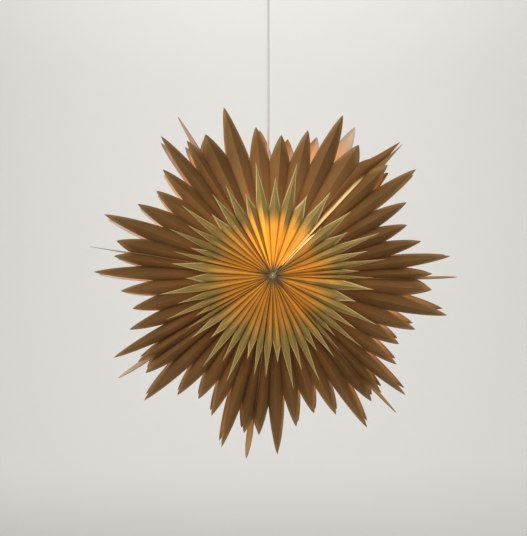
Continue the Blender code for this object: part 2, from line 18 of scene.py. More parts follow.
import bmesh
import bpy
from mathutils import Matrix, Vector

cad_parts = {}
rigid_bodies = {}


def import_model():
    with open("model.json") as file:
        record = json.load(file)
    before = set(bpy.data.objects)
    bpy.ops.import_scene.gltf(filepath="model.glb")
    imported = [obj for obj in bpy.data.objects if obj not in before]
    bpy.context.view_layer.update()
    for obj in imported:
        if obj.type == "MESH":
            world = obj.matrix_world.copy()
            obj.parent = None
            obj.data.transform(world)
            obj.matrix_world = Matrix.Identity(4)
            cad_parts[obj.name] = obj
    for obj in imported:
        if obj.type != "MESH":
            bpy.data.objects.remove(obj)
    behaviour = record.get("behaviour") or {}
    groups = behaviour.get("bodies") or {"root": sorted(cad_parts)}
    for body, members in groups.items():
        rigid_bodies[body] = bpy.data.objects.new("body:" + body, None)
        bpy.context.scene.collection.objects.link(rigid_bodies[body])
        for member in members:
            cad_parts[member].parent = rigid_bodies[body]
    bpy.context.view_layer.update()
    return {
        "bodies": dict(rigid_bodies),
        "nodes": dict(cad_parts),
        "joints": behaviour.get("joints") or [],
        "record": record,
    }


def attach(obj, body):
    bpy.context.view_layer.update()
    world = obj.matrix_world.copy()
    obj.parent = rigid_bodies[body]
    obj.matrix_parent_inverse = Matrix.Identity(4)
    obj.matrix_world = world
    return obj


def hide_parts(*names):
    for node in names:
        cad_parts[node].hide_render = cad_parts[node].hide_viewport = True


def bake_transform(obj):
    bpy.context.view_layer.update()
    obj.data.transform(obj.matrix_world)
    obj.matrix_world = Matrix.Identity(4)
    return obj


LOG = logging.getLogger("paper_star")

Colour = tuple[float, float, float]
Place = tuple[float, float, float]
Pairs = tuple[tuple[float, float], ...]
Item = bpy.types.Object
Socket = bpy.types.NodeSocket
Value = Socket | float | tuple
Inputs = dict[int | str, Value]
Papers = tuple[bpy.types.Material, bpy.types.Material, bpy.types.Material]

# Values repeated from the model

CENTRE = Vector((0.0091, 0.0, -0.664))
HUB_RADIUS = 0.0008
PANEL_HUB = 0.010
PANEL_PAPER = 0.0004
PANEL_GAP = 0.00015
SHEET_GAP = 0.0003
LAMP_SCALE = 0.98
BULB_CENTRE = Vector((0.0, 0.0, -0.5837))

# Sheets: thickness, radii of the first rows, how the further rows draw together, the gap beside
# the panels' inner ends, how far short of these it holds, and how level a face of the edge lies

PAPER = 0.0007
HUB_ROWS = (HUB_RADIUS, 0.0092, 0.0106)
ROW_POWER = 0.9
HUB_GAP = 0.00008
HUB_EDGE = 0.0005
EDGE_SLANT = 0.05

# Skew and ease of the leaves of each section: small front sheet, big front sheet, rear sheets

SPREADS = (
    ((0.14, 0.0), (0.03, -0.08), (0.01, -0.08)),
    ((0.34, 0.0), (-0.11, -0.23), (-0.13, -0.29)),
    ((0.46, 0.0), (0.06, -0.41), (0.16, -0.44)),
    ((0.12, 0.0), (0.04, -0.20), (0.06, -0.16)),
    ((0.07, 0.0), (0.01, -0.28), (0.07, -0.16)),
    ((-0.53, 0.0), (-0.26, -0.20), (-0.22, -0.33)),
    ((-0.53, 0.0), (-0.18, -0.27), (-0.06, -0.35)),
)

# Angles of the panels: at the small front sheet, at the big front sheet, in the middle, behind,
# and the further lean of the tip. LEAN says at which depth which of the angles holds

BOUNDARIES = (
    (49.5, 52.0, 46.2, 44.8, 0.0),
    (122.0, 119.8, 120.8, 121.9, -0.26),
    (168.5, 170.7, 171.0, 171.5, 0.10),
    (213.6, 214.5, 213.6, 213.1, 0.60),
    (262.6, 262.4, 261.8, 261.3, 1.08),
    (310.3, 310.9, 312.1, 312.8, -0.20),
    (357.2, 358.6, 359.6, 359.2, -0.37),
    (404.5, 407.2, 405.3, 404.0, 0.0),
)
LEAN = ((-0.088, 3), (-0.0267, 3), (0.0, 2), (0.0267, 1), (0.047, 1), (0.055, 0), (0.088, 0))
TIP_RADII = (0.309, 0.401)
TIP_DEPTH = 0.0066

# Mesh of a panel: at which radius and depth each of its lines ends, from the tip at 0 to the
# outer edge at 1, where the lines run, the radii of the first rows and the number of the others,
# the depth of the outer edge at the hub, the light window, and leaf_across, away from any fold

PANEL_ENDS = (0.0, 0.05, 0.12, 0.22, 0.32, 0.45, 0.74, 1.0)
PANEL_END_RADII = (0.401, 0.391, 0.371, 0.346, 0.326, 0.309, 0.160, 0.142)
PANEL_END_DEPTHS = (0.0, 0.0025, 0.0066, 0.0125, 0.0190, 0.0267, 0.042, 0.0617)
PANEL_SHARES = (0.0, 0.05, 0.12, 0.22, 0.32, 0.45, 0.52, 0.59, 0.66, 0.75, 0.84, 0.92, 1.0)
PANEL_NEAR = (PANEL_HUB, 0.018, 0.030, 0.045, 0.060, 0.075, 0.090, 0.106, 0.122)
PANEL_FAR_ROWS = 9
PANEL_HUB_DEPTH = 0.0564
WINDOW_RADII = (0.030, 0.122)
WINDOW_SHARE = 0.45
PANEL_ACROSS = 0.5

# Power by which the lamp's light falls off with its reach

LAMP_FALL = 2.2

# Tones: painted light and shade that alternate between neighbouring faces of a sheet, a tone by
# chance, and painted shade on a panel between the leaves

FACE_SHADE = 0.10
CHANCE_TONE = 0.15
SLIT_SHADE = 0.30

# Least share of the lamp's light on the paper's outer and inner side, however it turns

LIT_OUTSIDE = 0.30
LIT_INSIDE = 0.45

# Where a panel is out of its painted shade: beyond the leaves, and inside the star, lit by the
# lamp, up to a radius and a depth. Each is a place and the length over which the light sets in
# there

LEAVES_END = (0.300, 0.012)
LIT_RADIUS = (0.25, 0.08)
LIT_DEPTH = (0.036, 0.012)

# Angles about the hub at which the room's light whitens the paper, and the upper one's spread

PALE_LEFT = 165
PALE_ABOVE = 64
PALE_SPREAD = 11

# Seam: leaf_rim where its panels are painted pale as lit through by the lamp, the depth up to which
# the first panel is so lit and from which the last one is, by radius, and how much leaf_rim gains
# over which lengths past that, into the painted shade

SEAM_LAMPLIT = 0.91
SEAM_STRIP = (
    (0.065, -0.010),
    (0.130, 0.0110),
    (0.187, 0.0115),
    (0.254, 0.0065),
    (0.293, 0.003),
    (0.310, -0.03),
)
SEAM_FOLD = ((0.036, 0.0620), (0.046, 0.0540), (0.100, 0.0475), (0.136, 0.0600))
STRIP_GAINS = ((0.045, 0.0015), (0.035, 0.012))
FOLD_GAINS = ((0.08, 0.003),)

# Round parts: depth of the outer wall that threads and flutes cut, the radius that counts as the
# axis, and the angle up to which faces are shaded as one surface

OUTER_WALL = 0.0008
ON_AXIS = 1e-6
SMOOTH_UP_TO = 32

# The camera, in the photograph's frame

CAMERA_AT = CENTRE + Vector((-0.0193, -3.90, 0.0165))
CAMERA_LENS = 120.7


class Side(Enum):
    """Which side of the star a sheet lies on."""

    FRONT = "front"
    REAR = "rear"


class Layer(Enum):
    """Which of the two layers of leaves a sheet belongs to."""

    BIG = "big"
    SMALL = "small"


@dataclass(frozen=True)
class LeafPattern:
    """Outline and depth of one layer of leaves.

    Attributes:
        radii: Outline radius at each fold, from one end of the sheet to the other.
        apex: Depth of the point on the axis from which the folds run out.
        valley: Radius and depth of a point on a valley fold.
        mountain: Radius and depth of a point on a mountain fold.
        curve: How pointed a leaf is.
        columns: Number of mesh columns across one face.
        rows: Number of mesh rows from the hub to the outline.
    """

    radii: tuple[float, ...]
    apex: float
    valley: tuple[float, float]
    mountain: tuple[float, float]
    curve: float
    columns: int
    rows: int

    def slope(self, index: int) -> float:
        """Depth gained for each unit of radius along a fold."""
        radius, depth = self.mountain if index % 2 else self.valley
        return (depth - self.apex) / radius


PATTERNS = {
    Layer.BIG: LeafPattern(
        radii=(0.309, 0.342, 0.2815, 0.383, 0.2575, 0.327, 0.252, 0.308)
        + (0.252, 0.327, 0.2575, 0.383, 0.2815, 0.342, 0.309),
        apex=0.046,
        valley=(0.256, 0.030),
        mountain=(0.383, 0.058),
        curve=1.25,
        columns=7,
        rows=16,
    ),
    Layer.SMALL: LeafPattern(
        radii=(0.142, 0.217, 0.137, 0.186, 0.149, 0.245, 0.140, 0.211)
        + (0.140, 0.245, 0.149, 0.186, 0.137, 0.217, 0.142),
        apex=0.056,
        valley=(0.136, 0.0615),
        mountain=(0.245, 0.088),
        curve=0.72,
        columns=6,
        rows=13,
    ),
}


@dataclass(frozen=True)
class PaperFinish:
    """Colours of one kind of paper, all linear.

    Attributes:
        name: Name of the material.
        hub: Colour at the hub.
        low: Colour between the hub and the notches.
        high: Colour of the leaves.
        change: Radii between which low turns into high.
        rim: Colour along the leaves' cut margins; on the seam's panels, the painted shade past
        the lit strip.
        glow: Colour of the lamp's light through the paper.
        glow_strength: Strength of both.
        glow_reach: Distance from the lamp at which it has faded out, in metres.
        glow_from: Radii between which the glow sets in.
        glow_to: Radii between which it ends.
        roughness: Roughness of the paper.
        valley_shade: How much painted shade darkens the valley folds.
        crest_highlight: How much the mountain folds take of the margins' colour, as a painted
            highlight.
        haze: Colour of the lamp's light that the paper scatters further out.
        tint: What far-out colours are multiplied by where the room's light doesn't whiten them.
    """

    name: str
    hub: Colour
    low: Colour
    high: Colour
    change: tuple[float, float]
    rim: Colour
    glow: Colour
    glow_strength: float
    glow_reach: float
    glow_from: tuple[float, float]
    glow_to: tuple[float, float]
    roughness: float
    valley_shade: float = 0.0
    crest_highlight: float = 0.0
    haze: Colour = (0.0, 0.0, 0.0)
    tint: Colour | None = None


@dataclass(frozen=True)
class PlainFinish:
    """Colours of a smooth part, all linear.

    Attributes:
        name: Name of the material.
        colour: Main colour.
        second: Colour that the noise mixes in.
        roughness: Mean roughness.
        metallic: Metallic value.
        grain: Size of the noise in metres.
        coat: Coat weight.
        glow: Emission strength, for the bulb.
    """

    name: str
    colour: Colour
    second: Colour
    roughness: float
    metallic: float = 0.0
    grain: float = 0.004
    coat: float = 0.0
    glow: float = 0.0


BIG_OUTER = PaperFinish(
    name="big_leaf_outer",
    hub=(0.34, 0.14, 0.022),
    # Darker from the hub to the notches: painted shadow of the small leaves on the big ones
    low=(0.235, 0.098, 0.018),
    high=(0.232, 0.112, 0.027),
    change=(0.17, 0.28),
    rim=(0.36, 0.20, 0.070),
    valley_shade=0.30,
    crest_highlight=0.18,
    glow=(1.0, 0.52, 0.18),
    glow_strength=0.55,
    glow_reach=0.36,
    glow_from=(0.01, 0.05),
    glow_to=(0.20, 0.40),
    roughness=0.72,
)
SMALL_OUTER = PaperFinish(
    name="small_leaf_outer",
    hub=(0.165, 0.14, 0.07),
    low=(0.36, 0.17, 0.025),
    high=(0.38, 0.260, 0.066),
    change=(0.07, 0.14),
    rim=(0.78, 0.64, 0.28),
    valley_shade=0.72,
    crest_highlight=0.25,
    glow=(1.0, 0.34, 0.015),
    glow_strength=1.45,
    glow_reach=0.70,
    glow_from=(0.012, 0.045),
    glow_to=(0.096, 0.142),
    roughness=0.66,
)
INNER = PaperFinish(
    name="leaf_inner",
    # Orange from the hub outwards: painted light of the lamp on the paper's white inner side
    hub=(0.75, 0.40, 0.15),
    low=(0.66, 0.40, 0.20),
    high=(0.72, 0.62, 0.52),
    change=(0.295, 0.365),
    rim=(0.74, 0.66, 0.58),
    valley_shade=0.15,
    glow=(1.0, 0.50, 0.16),
    haze=(0.17, 0.13, 0.10),
    glow_strength=0.80,
    glow_reach=0.80,
    glow_from=(0.0, 0.02),
    glow_to=(0.26, 0.35),
    roughness=0.75,
    tint=(0.68, 0.46, 0.19),
)
# Seam paper: cream as painted light of the lamp shining through, and the rim's brown as painted
# shade
SEAM_LIGHT_AND_SHADE = PaperFinish(
    name="seam_lamplight_and_shade",
    hub=(0.80, 0.62, 0.36),
    low=(0.70, 0.53, 0.20),
    high=(0.74, 0.66, 0.44),
    change=(0.08, 0.17),
    rim=(0.42, 0.21, 0.065),
    glow=(1.0, 0.66, 0.22),
    haze=(0.80, 0.65, 0.29),
    glow_strength=0.95,
    glow_reach=0.50,
    glow_from=(0.0, 0.02),
    glow_to=(0.24, 0.42),
    roughness=0.70,
)
SECTION_GLOW = (0.92, 0.36, 0.41, 0.53, 0.72, 0.71, 0.64)
EDGE = PlainFinish("paper_edge", (0.62, 0.48, 0.25), (0.50, 0.36, 0.18), 0.8, grain=0.002)


def rgba(colour: Colour) -> tuple[float, float, float, float]:
    """Four numbers for a colour socket."""
    return (*colour, 1.0)


class NodeSheet:
    """Small helper that adds nodes to one tree and links them."""

    def __init__(self, tree: bpy.types.NodeTree) -> None:
        """Keep the node tree that is filled."""
        self.tree = tree

    def link(self, source: Value, target: Socket) -> None:
        """Link a socket, or set it where source is a plain value.

        Args:
            source: Output socket or value.
            target: Input socket.
        """
        if isinstance(source, Socket):
            self.tree.links.new(source, target)
        else:
            target.default_value = source

    def add(self, kind: str, inputs: Inputs | None = None, **values: object) -> bpy.types.Node:
        """Add a node.

        Args:
            kind: Blender's name of the node type.
            inputs: Sockets or values for its inputs, by name or number.
            values: Attributes of the node.

        Returns:
            The node.
        """
        node = self.tree.nodes.new(kind)
        for key, value in values.items():
            setattr(node, key, value)
        for key, value in (inputs or {}).items():
            self.link(value, node.inputs[key])
        return node

    def read(self, name: str) -> Socket:
        """Read one of the paper's own attributes."""
        return self.add("ShaderNodeAttribute", attribute_name=name).outputs["Fac"]

    def math(self, operation: str, *values: Value, clamp: bool = False) -> Socket:
        """Do a Math node's operation on values, and keep the result from 0 to 1 if told to."""
        inputs = dict(enumerate(values))
        return self.add("ShaderNodeMath", inputs, operation=operation, use_clamp=clamp).outputs[0]

    def product(self, *values: Value) -> Socket:
        """Multiply values, from the first to the last."""
        return reduce(lambda first, second: self.math("MULTIPLY", first, second), values)

    def mix(self, factor: Value, first: Value, second: Value, blend: str = "MIX") -> Socket:
        """Mix two colours, where factor is the share of the second."""
        inputs = {0: factor, 6: first, 7: second}
        return self.add("ShaderNodeMix", inputs, data_type="RGBA", blend_type=blend).outputs[2]

    def noise(self, place: Value, scale: float, detail: float = 3.0, rough: float = 0.55) -> Socket:
        """Read a noise at a place."""
        inputs = {"Vector": place, "Scale": scale, "Detail": detail, "Roughness": rough}
        return self.add("ShaderNodeTexNoise", inputs).outputs[0]

    def smooth(self, value: Value, *ends: float) -> Socket:
        """Map a value smoothly from one range, the first two ends, to another or from 0 to 1."""
        inputs = dict(enumerate((value, *ends)))
        return self.add("ShaderNodeMapRange", inputs, interpolation_type="SMOOTHSTEP").outputs[0]


class GroupSheet(NodeSheet):
    """Node group in the making."""

    def __init__(self, name: str, inputs: dict[str, str], outputs: tuple[str, ...]) -> None:
        """Make the group with its sockets.

        Args:
            name: Its name.
            inputs: Name and type of each input.
            outputs: Names of its outputs, which are floats.
        """
        super().__init__(bpy.data.node_groups.new(name, "ShaderNodeTree"))
        face = self.tree.interface
        for key, kind in inputs.items():
            face.new_socket(key, in_out="INPUT", socket_type=kind)
        for key in outputs:
            face.new_socket(key, in_out="OUTPUT", socket_type="NodeSocketFloat")
        self.enter = self.add("NodeGroupInput")
        self.leave = self.add("NodeGroupOutput")


@cache
def fibre_group() -> bpy.types.NodeTree:
    """Make, once, the nodes of pressed paper.

    Returns:
        The group, which gives a mottled value and a height for the bump.
    """
    sheet = GroupSheet("pressed_paper", {"Vector": "NodeSocketVector"}, ("Mottle", "Height"))
    place = sheet.enter.outputs[0]
    cloud = sheet.noise(place, 28.0, 4.0, 0.6)
    pulp = sheet.noise(place, 420.0, 3.0, 0.6)
    inputs = {"Vector": place, "Scale": (1.0, 0.25, 1.0)}
    stretch = sheet.add("ShaderNodeMapping", inputs, vector_type="POINT")
    fibre = sheet.noise(stretch.outputs[0], 900.0, 2.0, 0.7)
    for number, terms in enumerate((((cloud, 0.65), (pulp, 0.35)), ((pulp, 0.6), (fibre, 0.4)))):
        first, second = (sheet.product(*term) for term in terms)
        sheet.link(sheet.math("ADD", first, second), sheet.leave.inputs[number])
    return sheet.tree


@cache
def lamp_group() -> bpy.types.NodeTree:
    """Make, once, the nodes of the lamp's reach.

    Returns:
        The group, which gives how strongly the lamp lights a point of the paper.
    """
    inputs = {"Vector": "NodeSocketVector", "Reach": "NodeSocketFloat"}
    sheet = GroupSheet("lamp_reach", inputs, ("Light",))
    ends = {0: sheet.enter.outputs[0], 1: BULB_CENTRE}
    away = sheet.add("ShaderNodeVectorMath", ends, operation="DISTANCE")
    share = sheet.math("DIVIDE", away.outputs["Value"], sheet.enter.outputs[1])
    left = sheet.math("SUBTRACT", 1.0, share, clamp=True)
    sheet.link(sheet.math("POWER", left, LAMP_FALL), sheet.leave.inputs[0])
    return sheet.tree


class Surface(NodeSheet):
    """Material in the making, round its Principled shader."""

    def __init__(self, name: str) -> None:
        """Make the material and the socket that tells where a point lies.

        Args:
            name: Name of the material.
        """
        self.material = bpy.data.materials.new(name)
        self.material.use_nodes = True
        super().__init__(self.material.node_tree)
        self.place = self.add("ShaderNodeTexCoord").outputs["Object"]

    def put(self, **values: Value) -> None:
        """Link or set inputs of the shader, named with an underscore for each space."""
        shader = self.tree.nodes["Principled BSDF"]
        for name, value in values.items():
            self.link(value, shader.inputs[name.replace("_", " ")])

    def bump(self, height: Value, strength: float, distance: float) -> None:
        """Let the surface rise and fall with a height."""
        inputs = {"Height": height, "Strength": strength, "Distance": distance}
        self.put(Normal=self.add("ShaderNodeBump", inputs).outputs[0])


class PaperSurface(Surface):
    """Material of one kind of paper, which reads the attributes that its pieces carry.

    Attributes:
        hub_ends: Radii between which the hub's colour ends.
        core_ends: Radii between which the pale core of the hub ends.
        core_gain: What the hub's colour is multiplied by for the core.
        margin: Values of leaf_rim between which the margins' colour sets in.
        crest_highlight: Values of leaf_across between which a mountain fold's painted highlight
            sets in.
        valley_shade: Values of leaf_across between which painted shade darkens a valley fold.
        valley_shade_gain: What the hub's colour is multiplied by for a valley fold's painted shade.
        mottle: Values of the pressed paper between which it changes.
        mottle_tones: Tones of the paper at these values.
        rougher: What the finish's roughness gains at these values.
        tint_from: Radii between which the tint sets in.
        tone_power: How strongly a dark tone keeps the glow off.
        bumps: Strength and distance of the bump.
    """

    hub_ends = (0.006, 0.040)
    core_ends = (0.003, 0.010)
    core_gain = 2.6
    margin = (0.92, 0.98)
    crest_highlight = (0.88, 1.0)
    valley_shade = (0.38, 0.0)
    valley_shade_gain = 0.25
    mottle = (0.30, 0.70)
    mottle_tones = (0.88, 1.10)
    rougher = (-0.06, 0.08)
    tint_from = (0.24, 0.30)
    tone_power = 4.0
    bumps = (0.25, 0.0006)

    def __init__(self, finish: PaperFinish) -> None:
        """Build the material.

        Args:
            finish: Its colours.
        """
        super().__init__(finish.name)
        self.finish = finish
        paper = self.add("ShaderNodeGroup", {0: self.place}, node_tree=fibre_group())
        mottled = paper.outputs["Mottle"]
        self.across = self.read("leaf_across")
        self.along = self.read("leaf_radius")
        # leaf_tone: each face's painted light and shade, with its tone by chance
        self.tone = self.read("leaf_tone")
        self.rim = self.smooth(self.read("leaf_rim"), *self.margin)
        # Painted shade in the valley folds, which also keeps the lamp's glow off them
        self.valley = self.product(self.smooth(self.across, *self.valley_shade), finish.valley_shade)
        shade = self.shade(mottled)
        rough = (finish.roughness + more for more in self.rougher)
        self.put(
            Base_Color=self.mix(1.0, self.colour(), shade, "MULTIPLY"),
            Roughness=self.smooth(mottled, *self.mottle, *rough),
            Emission_Color=self.lamplight(shade),
            Emission_Strength=finish.glow_strength,
        )
        self.bump(paper.outputs["Height"], *self.bumps)

    def colour(self) -> Socket:
        """Colour the paper from the hub outwards, and along its folds and margins.

        Returns:
            The colour.
        """
        finish, along = self.finish, self.along
        base = self.mix(self.smooth(along, *self.hub_ends), rgba(finish.hub), rgba(finish.low))
        base = self.mix(self.smooth(along, *finish.change), base, rgba(finish.high))
        # Painted highlight along the mountain folds, in the margins' colour
        crest_highlight = self.product(self.smooth(self.across, *self.crest_highlight), finish.crest_highlight)
        base = self.mix(self.math("MAXIMUM", self.rim, crest_highlight), base, rgba(finish.rim))
        # The valley folds' painted shade: the hub's colour darkened
        deep = rgba(tuple(self.valley_shade_gain * part for part in finish.hub))
        base = self.mix(self.valley, base, deep)
        core = rgba(tuple(min(1.0, self.core_gain * part) for part in finish.hub))
        return self.mix(self.smooth(along, *self.core_ends, 1.0, 0.0), base, core)

    def shade(self, mottled: Socket) -> Socket:
        """Shade the paper by its fibres, the tone of each face and its tint.

        Args:
            mottled: Mottled value of the pressed paper.

        Returns:
            The colour that everything else is multiplied by.
        """
        value = self.product(self.smooth(mottled, *self.mottle, *self.mottle_tones), self.tone)
        grey = self.add("ShaderNodeCombineColor", dict.fromkeys(range(3), value)).outputs[0]
        if not self.finish.tint:
            return grey
        near = self.smooth(self.along, *self.tint_from, 1.0, 0.0)
        spared = self.math("MAXIMUM", self.read("leaf_pale"), near)
        tint = self.mix(spared, rgba(self.finish.tint), rgba((1.0, 1.0, 1.0)))
        return self.mix(1.0, grey, tint, "MULTIPLY")

    def lamplight(self, shade: Socket) -> Socket:
        """Light the paper from the lamp, by distance and radius.

        Args:
            shade: What the light is multiplied by.

        Returns:
            The light's colour.
        """
        finish = self.finish
        inputs = {0: self.place, 1: finish.glow_reach}
        lamp = self.add("ShaderNodeGroup", inputs, node_tree=lamp_group())
        sets_in = self.product(self.along, self.math("POWER", self.tone, self.tone_power))
        reached = self.math("DIVIDE", self.along, self.tone)
        light = self.product(
            lamp.outputs[0],
            self.smooth(sets_in, *finish.glow_from),
            self.smooth(reached, *finish.glow_to, 1.0, 0.0),
            self.tone,
            self.read("leaf_lit"),
            self.math("SUBTRACT", 1.0, self.valley),
        )
        glow = self.mix(light, rgba(finish.haze), rgba(finish.glow))
        return self.mix(1.0, self.mix(self.rim, glow, rgba((0.0, 0.0, 0.0))), shade, "MULTIPLY")


class PlainSurface(Surface):
    """Material of a smooth or metal part.

    Attributes:
        change: Values of the noise between which the second colour sets in.
        rough: Values of the noise between which the roughness changes.
        rougher: What the finish's roughness gains at these values.
        finer: How much finer the bump's noise is than the colour's.
        bumps: Strength and distance of the bump.
    """

    change = (0.35, 0.65)
    rough = (0.3, 0.7)
    rougher = (-0.04, 0.06)
    finer = 4.0
    bumps = (0.08, 0.0002)

    def __init__(self, finish: PlainFinish) -> None:
        """Build the material.

        Args:
            finish: Its values.
        """
        super().__init__(finish.name)
        cloud = self.noise(self.place, 1.0 / finish.grain)
        base = self.mix(self.smooth(cloud, *self.change), rgba(finish.colour), rgba(finish.second))
        rough = (finish.roughness + more for more in self.rougher)
        self.put(
            Base_Color=base,
            Roughness=self.smooth(cloud, *self.rough, *rough),
            Metallic=finish.metallic,
            Coat_Weight=finish.coat,
        )
        self.bump(self.noise(self.place, self.finer / finish.grain), *self.bumps)
        if finish.glow:
            self.put(Emission_Color=base, Emission_Strength=finish.glow)


def deselect() -> None:
    """Leave no object selected."""
    for item in bpy.context.selected_objects:
        item.select_set(False)


def select_only(made: Item) -> None:
    """Select one object alone and make it active.

    Args:
        made: The object.
    """
    deselect()
    bpy.context.view_layer.objects.active = made
    made.select_set(True)


def new_object(name: str, data: bpy.types.ID, place: Place = (0.0, 0.0, 0.0)) -> Item:
    """Put a new object into the scene.

    Args:
        name: Its name.
        data: Its mesh, curve, light or camera.
        place: Where it stands.

    Returns:
        The object.
    """
    made = bpy.data.objects.new(name, data)
    made.location = place
    bpy.context.scene.collection.objects.link(made)
    return made


def grid_object(name: str, columns: int, rows: int) -> Item:
    """Add a flat grid of faces to be shaped.

    Args:
        name: Name of the object.
        columns: Number of faces across.
        rows: Number of faces along.

    Returns:
        The object, whose vertices run row by row.
    """
    deselect()
    bpy.ops.mesh.primitive_grid_add(x_subdivisions=columns, y_subdivisions=rows, size=1.0)
    made = bpy.context.object
    made.name = name
    made.data.name = name
    return made


@contextmanager
def editing(made: Item, action: str = "") -> Iterator[None]:
    """Open an object's mesh in edit mode, and leave it afterwards.

    Args:
        made: The object.
        action: SELECT or DESELECT for its whole mesh, or nothing to keep what is selected.

    Yields:
        Nothing, while the mesh is open.
    """
    select_only(made)
    bpy.ops.object.mode_set(mode="EDIT")
    if action:
        bpy.ops.mesh.select_all(action=action)
    yield
    bpy.ops.object.mode_set(mode="OBJECT")


def thicken(made: Item, step: Vector, materials: Papers) -> None:
    """Extrude a shaped grid into paper with an inner face, an outer face and an edge.

    Args:
        made: The object, shaped, with no thickness yet.
        step: Vector from the inner face to the outer one.
        materials: Materials of the inner face, the outer face and the edge.
    """
    made.data.materials.clear()
    for finish in materials:
        made.data.materials.append(finish)
    with editing(made, "SELECT"):
        bpy.ops.mesh.extrude_region_move(TRANSFORM_OT_translate={"value": tuple(step)})
        made.active_material_index = 1
        bpy.ops.object.material_slot_assign()
    along = step.normalized()
    for face in made.data.polygons:
        if abs(face.normal.dot(along)) < EDGE_SLANT:
            face.material_index = 2
    with editing(made, "SELECT"):
        bpy.ops.mesh.normals_make_consistent(inside=False)


def write_values(made: Item, domain: str = "POINT", **lists: list[float]) -> None:
    """Store lists of numbers as attributes of an object's points or faces, by name."""
    for name, values in lists.items():
        made.data.attributes.new(name, "FLOAT", domain).data.foreach_set("value", values)


def write_lit(made: Item, share: float = 1.0) -> None:
    """Store for each face how squarely the lamp inside the star meets the paper there.

    Args:
        made: The object.
        share: How much of the lamp's light reaches its section.
    """
    lit = []
    for face in made.data.polygons:
        square = face.normal.dot((BULB_CENTRE - face.center).normalized())
        if face.material_index == 1:
            lit.append(share * (LIT_OUTSIDE + (1 - LIT_OUTSIDE) * max(0.0, -square)))
        else:
            lit.append(LIT_INSIDE + (1 - LIT_INSIDE) * max(0.0, square))
    write_values(made, "FACE", leaf_lit=lit)


def ramp(value: float, length: float) -> float:
    """Share from 0 to 1 that a value has covered of a length."""
    return min(1.0, max(0.0, value / length))


def paleness(degrees: float) -> float:
    """Share to which the room's light whitens the paper's inner side at an angle in degrees."""
    left = max(0.0, math.cos(math.radians(degrees - PALE_LEFT))) ** 2
    return max(left, math.exp(-(((degrees - PALE_ABOVE) / PALE_SPREAD) ** 2)))


def between(value: float, table: Pairs) -> float:
    """Read a table of pairs, level beyond its ends.

    Args:
        value: Where it is read.
        table: Pairs of place and value, in rising order.

    Returns:
        The value there.
    """
    if value <= table[0][0]:
        return table[0][1]
    for (low, first), (high, second) in zip(table, table[1:]):
        if value <= high:
            return first + (second - first) * (value - low) / (high - low)
    return table[-1][1]


def star_point(radius: float, degrees: float, depth: float) -> Vector:
    """Point of the star at a radius, an angle seen from the front and a depth towards the front."""
    turn = math.radians(degrees)
    return CENTRE + Vector((radius * math.cos(turn), -depth, radius * math.sin(turn)))


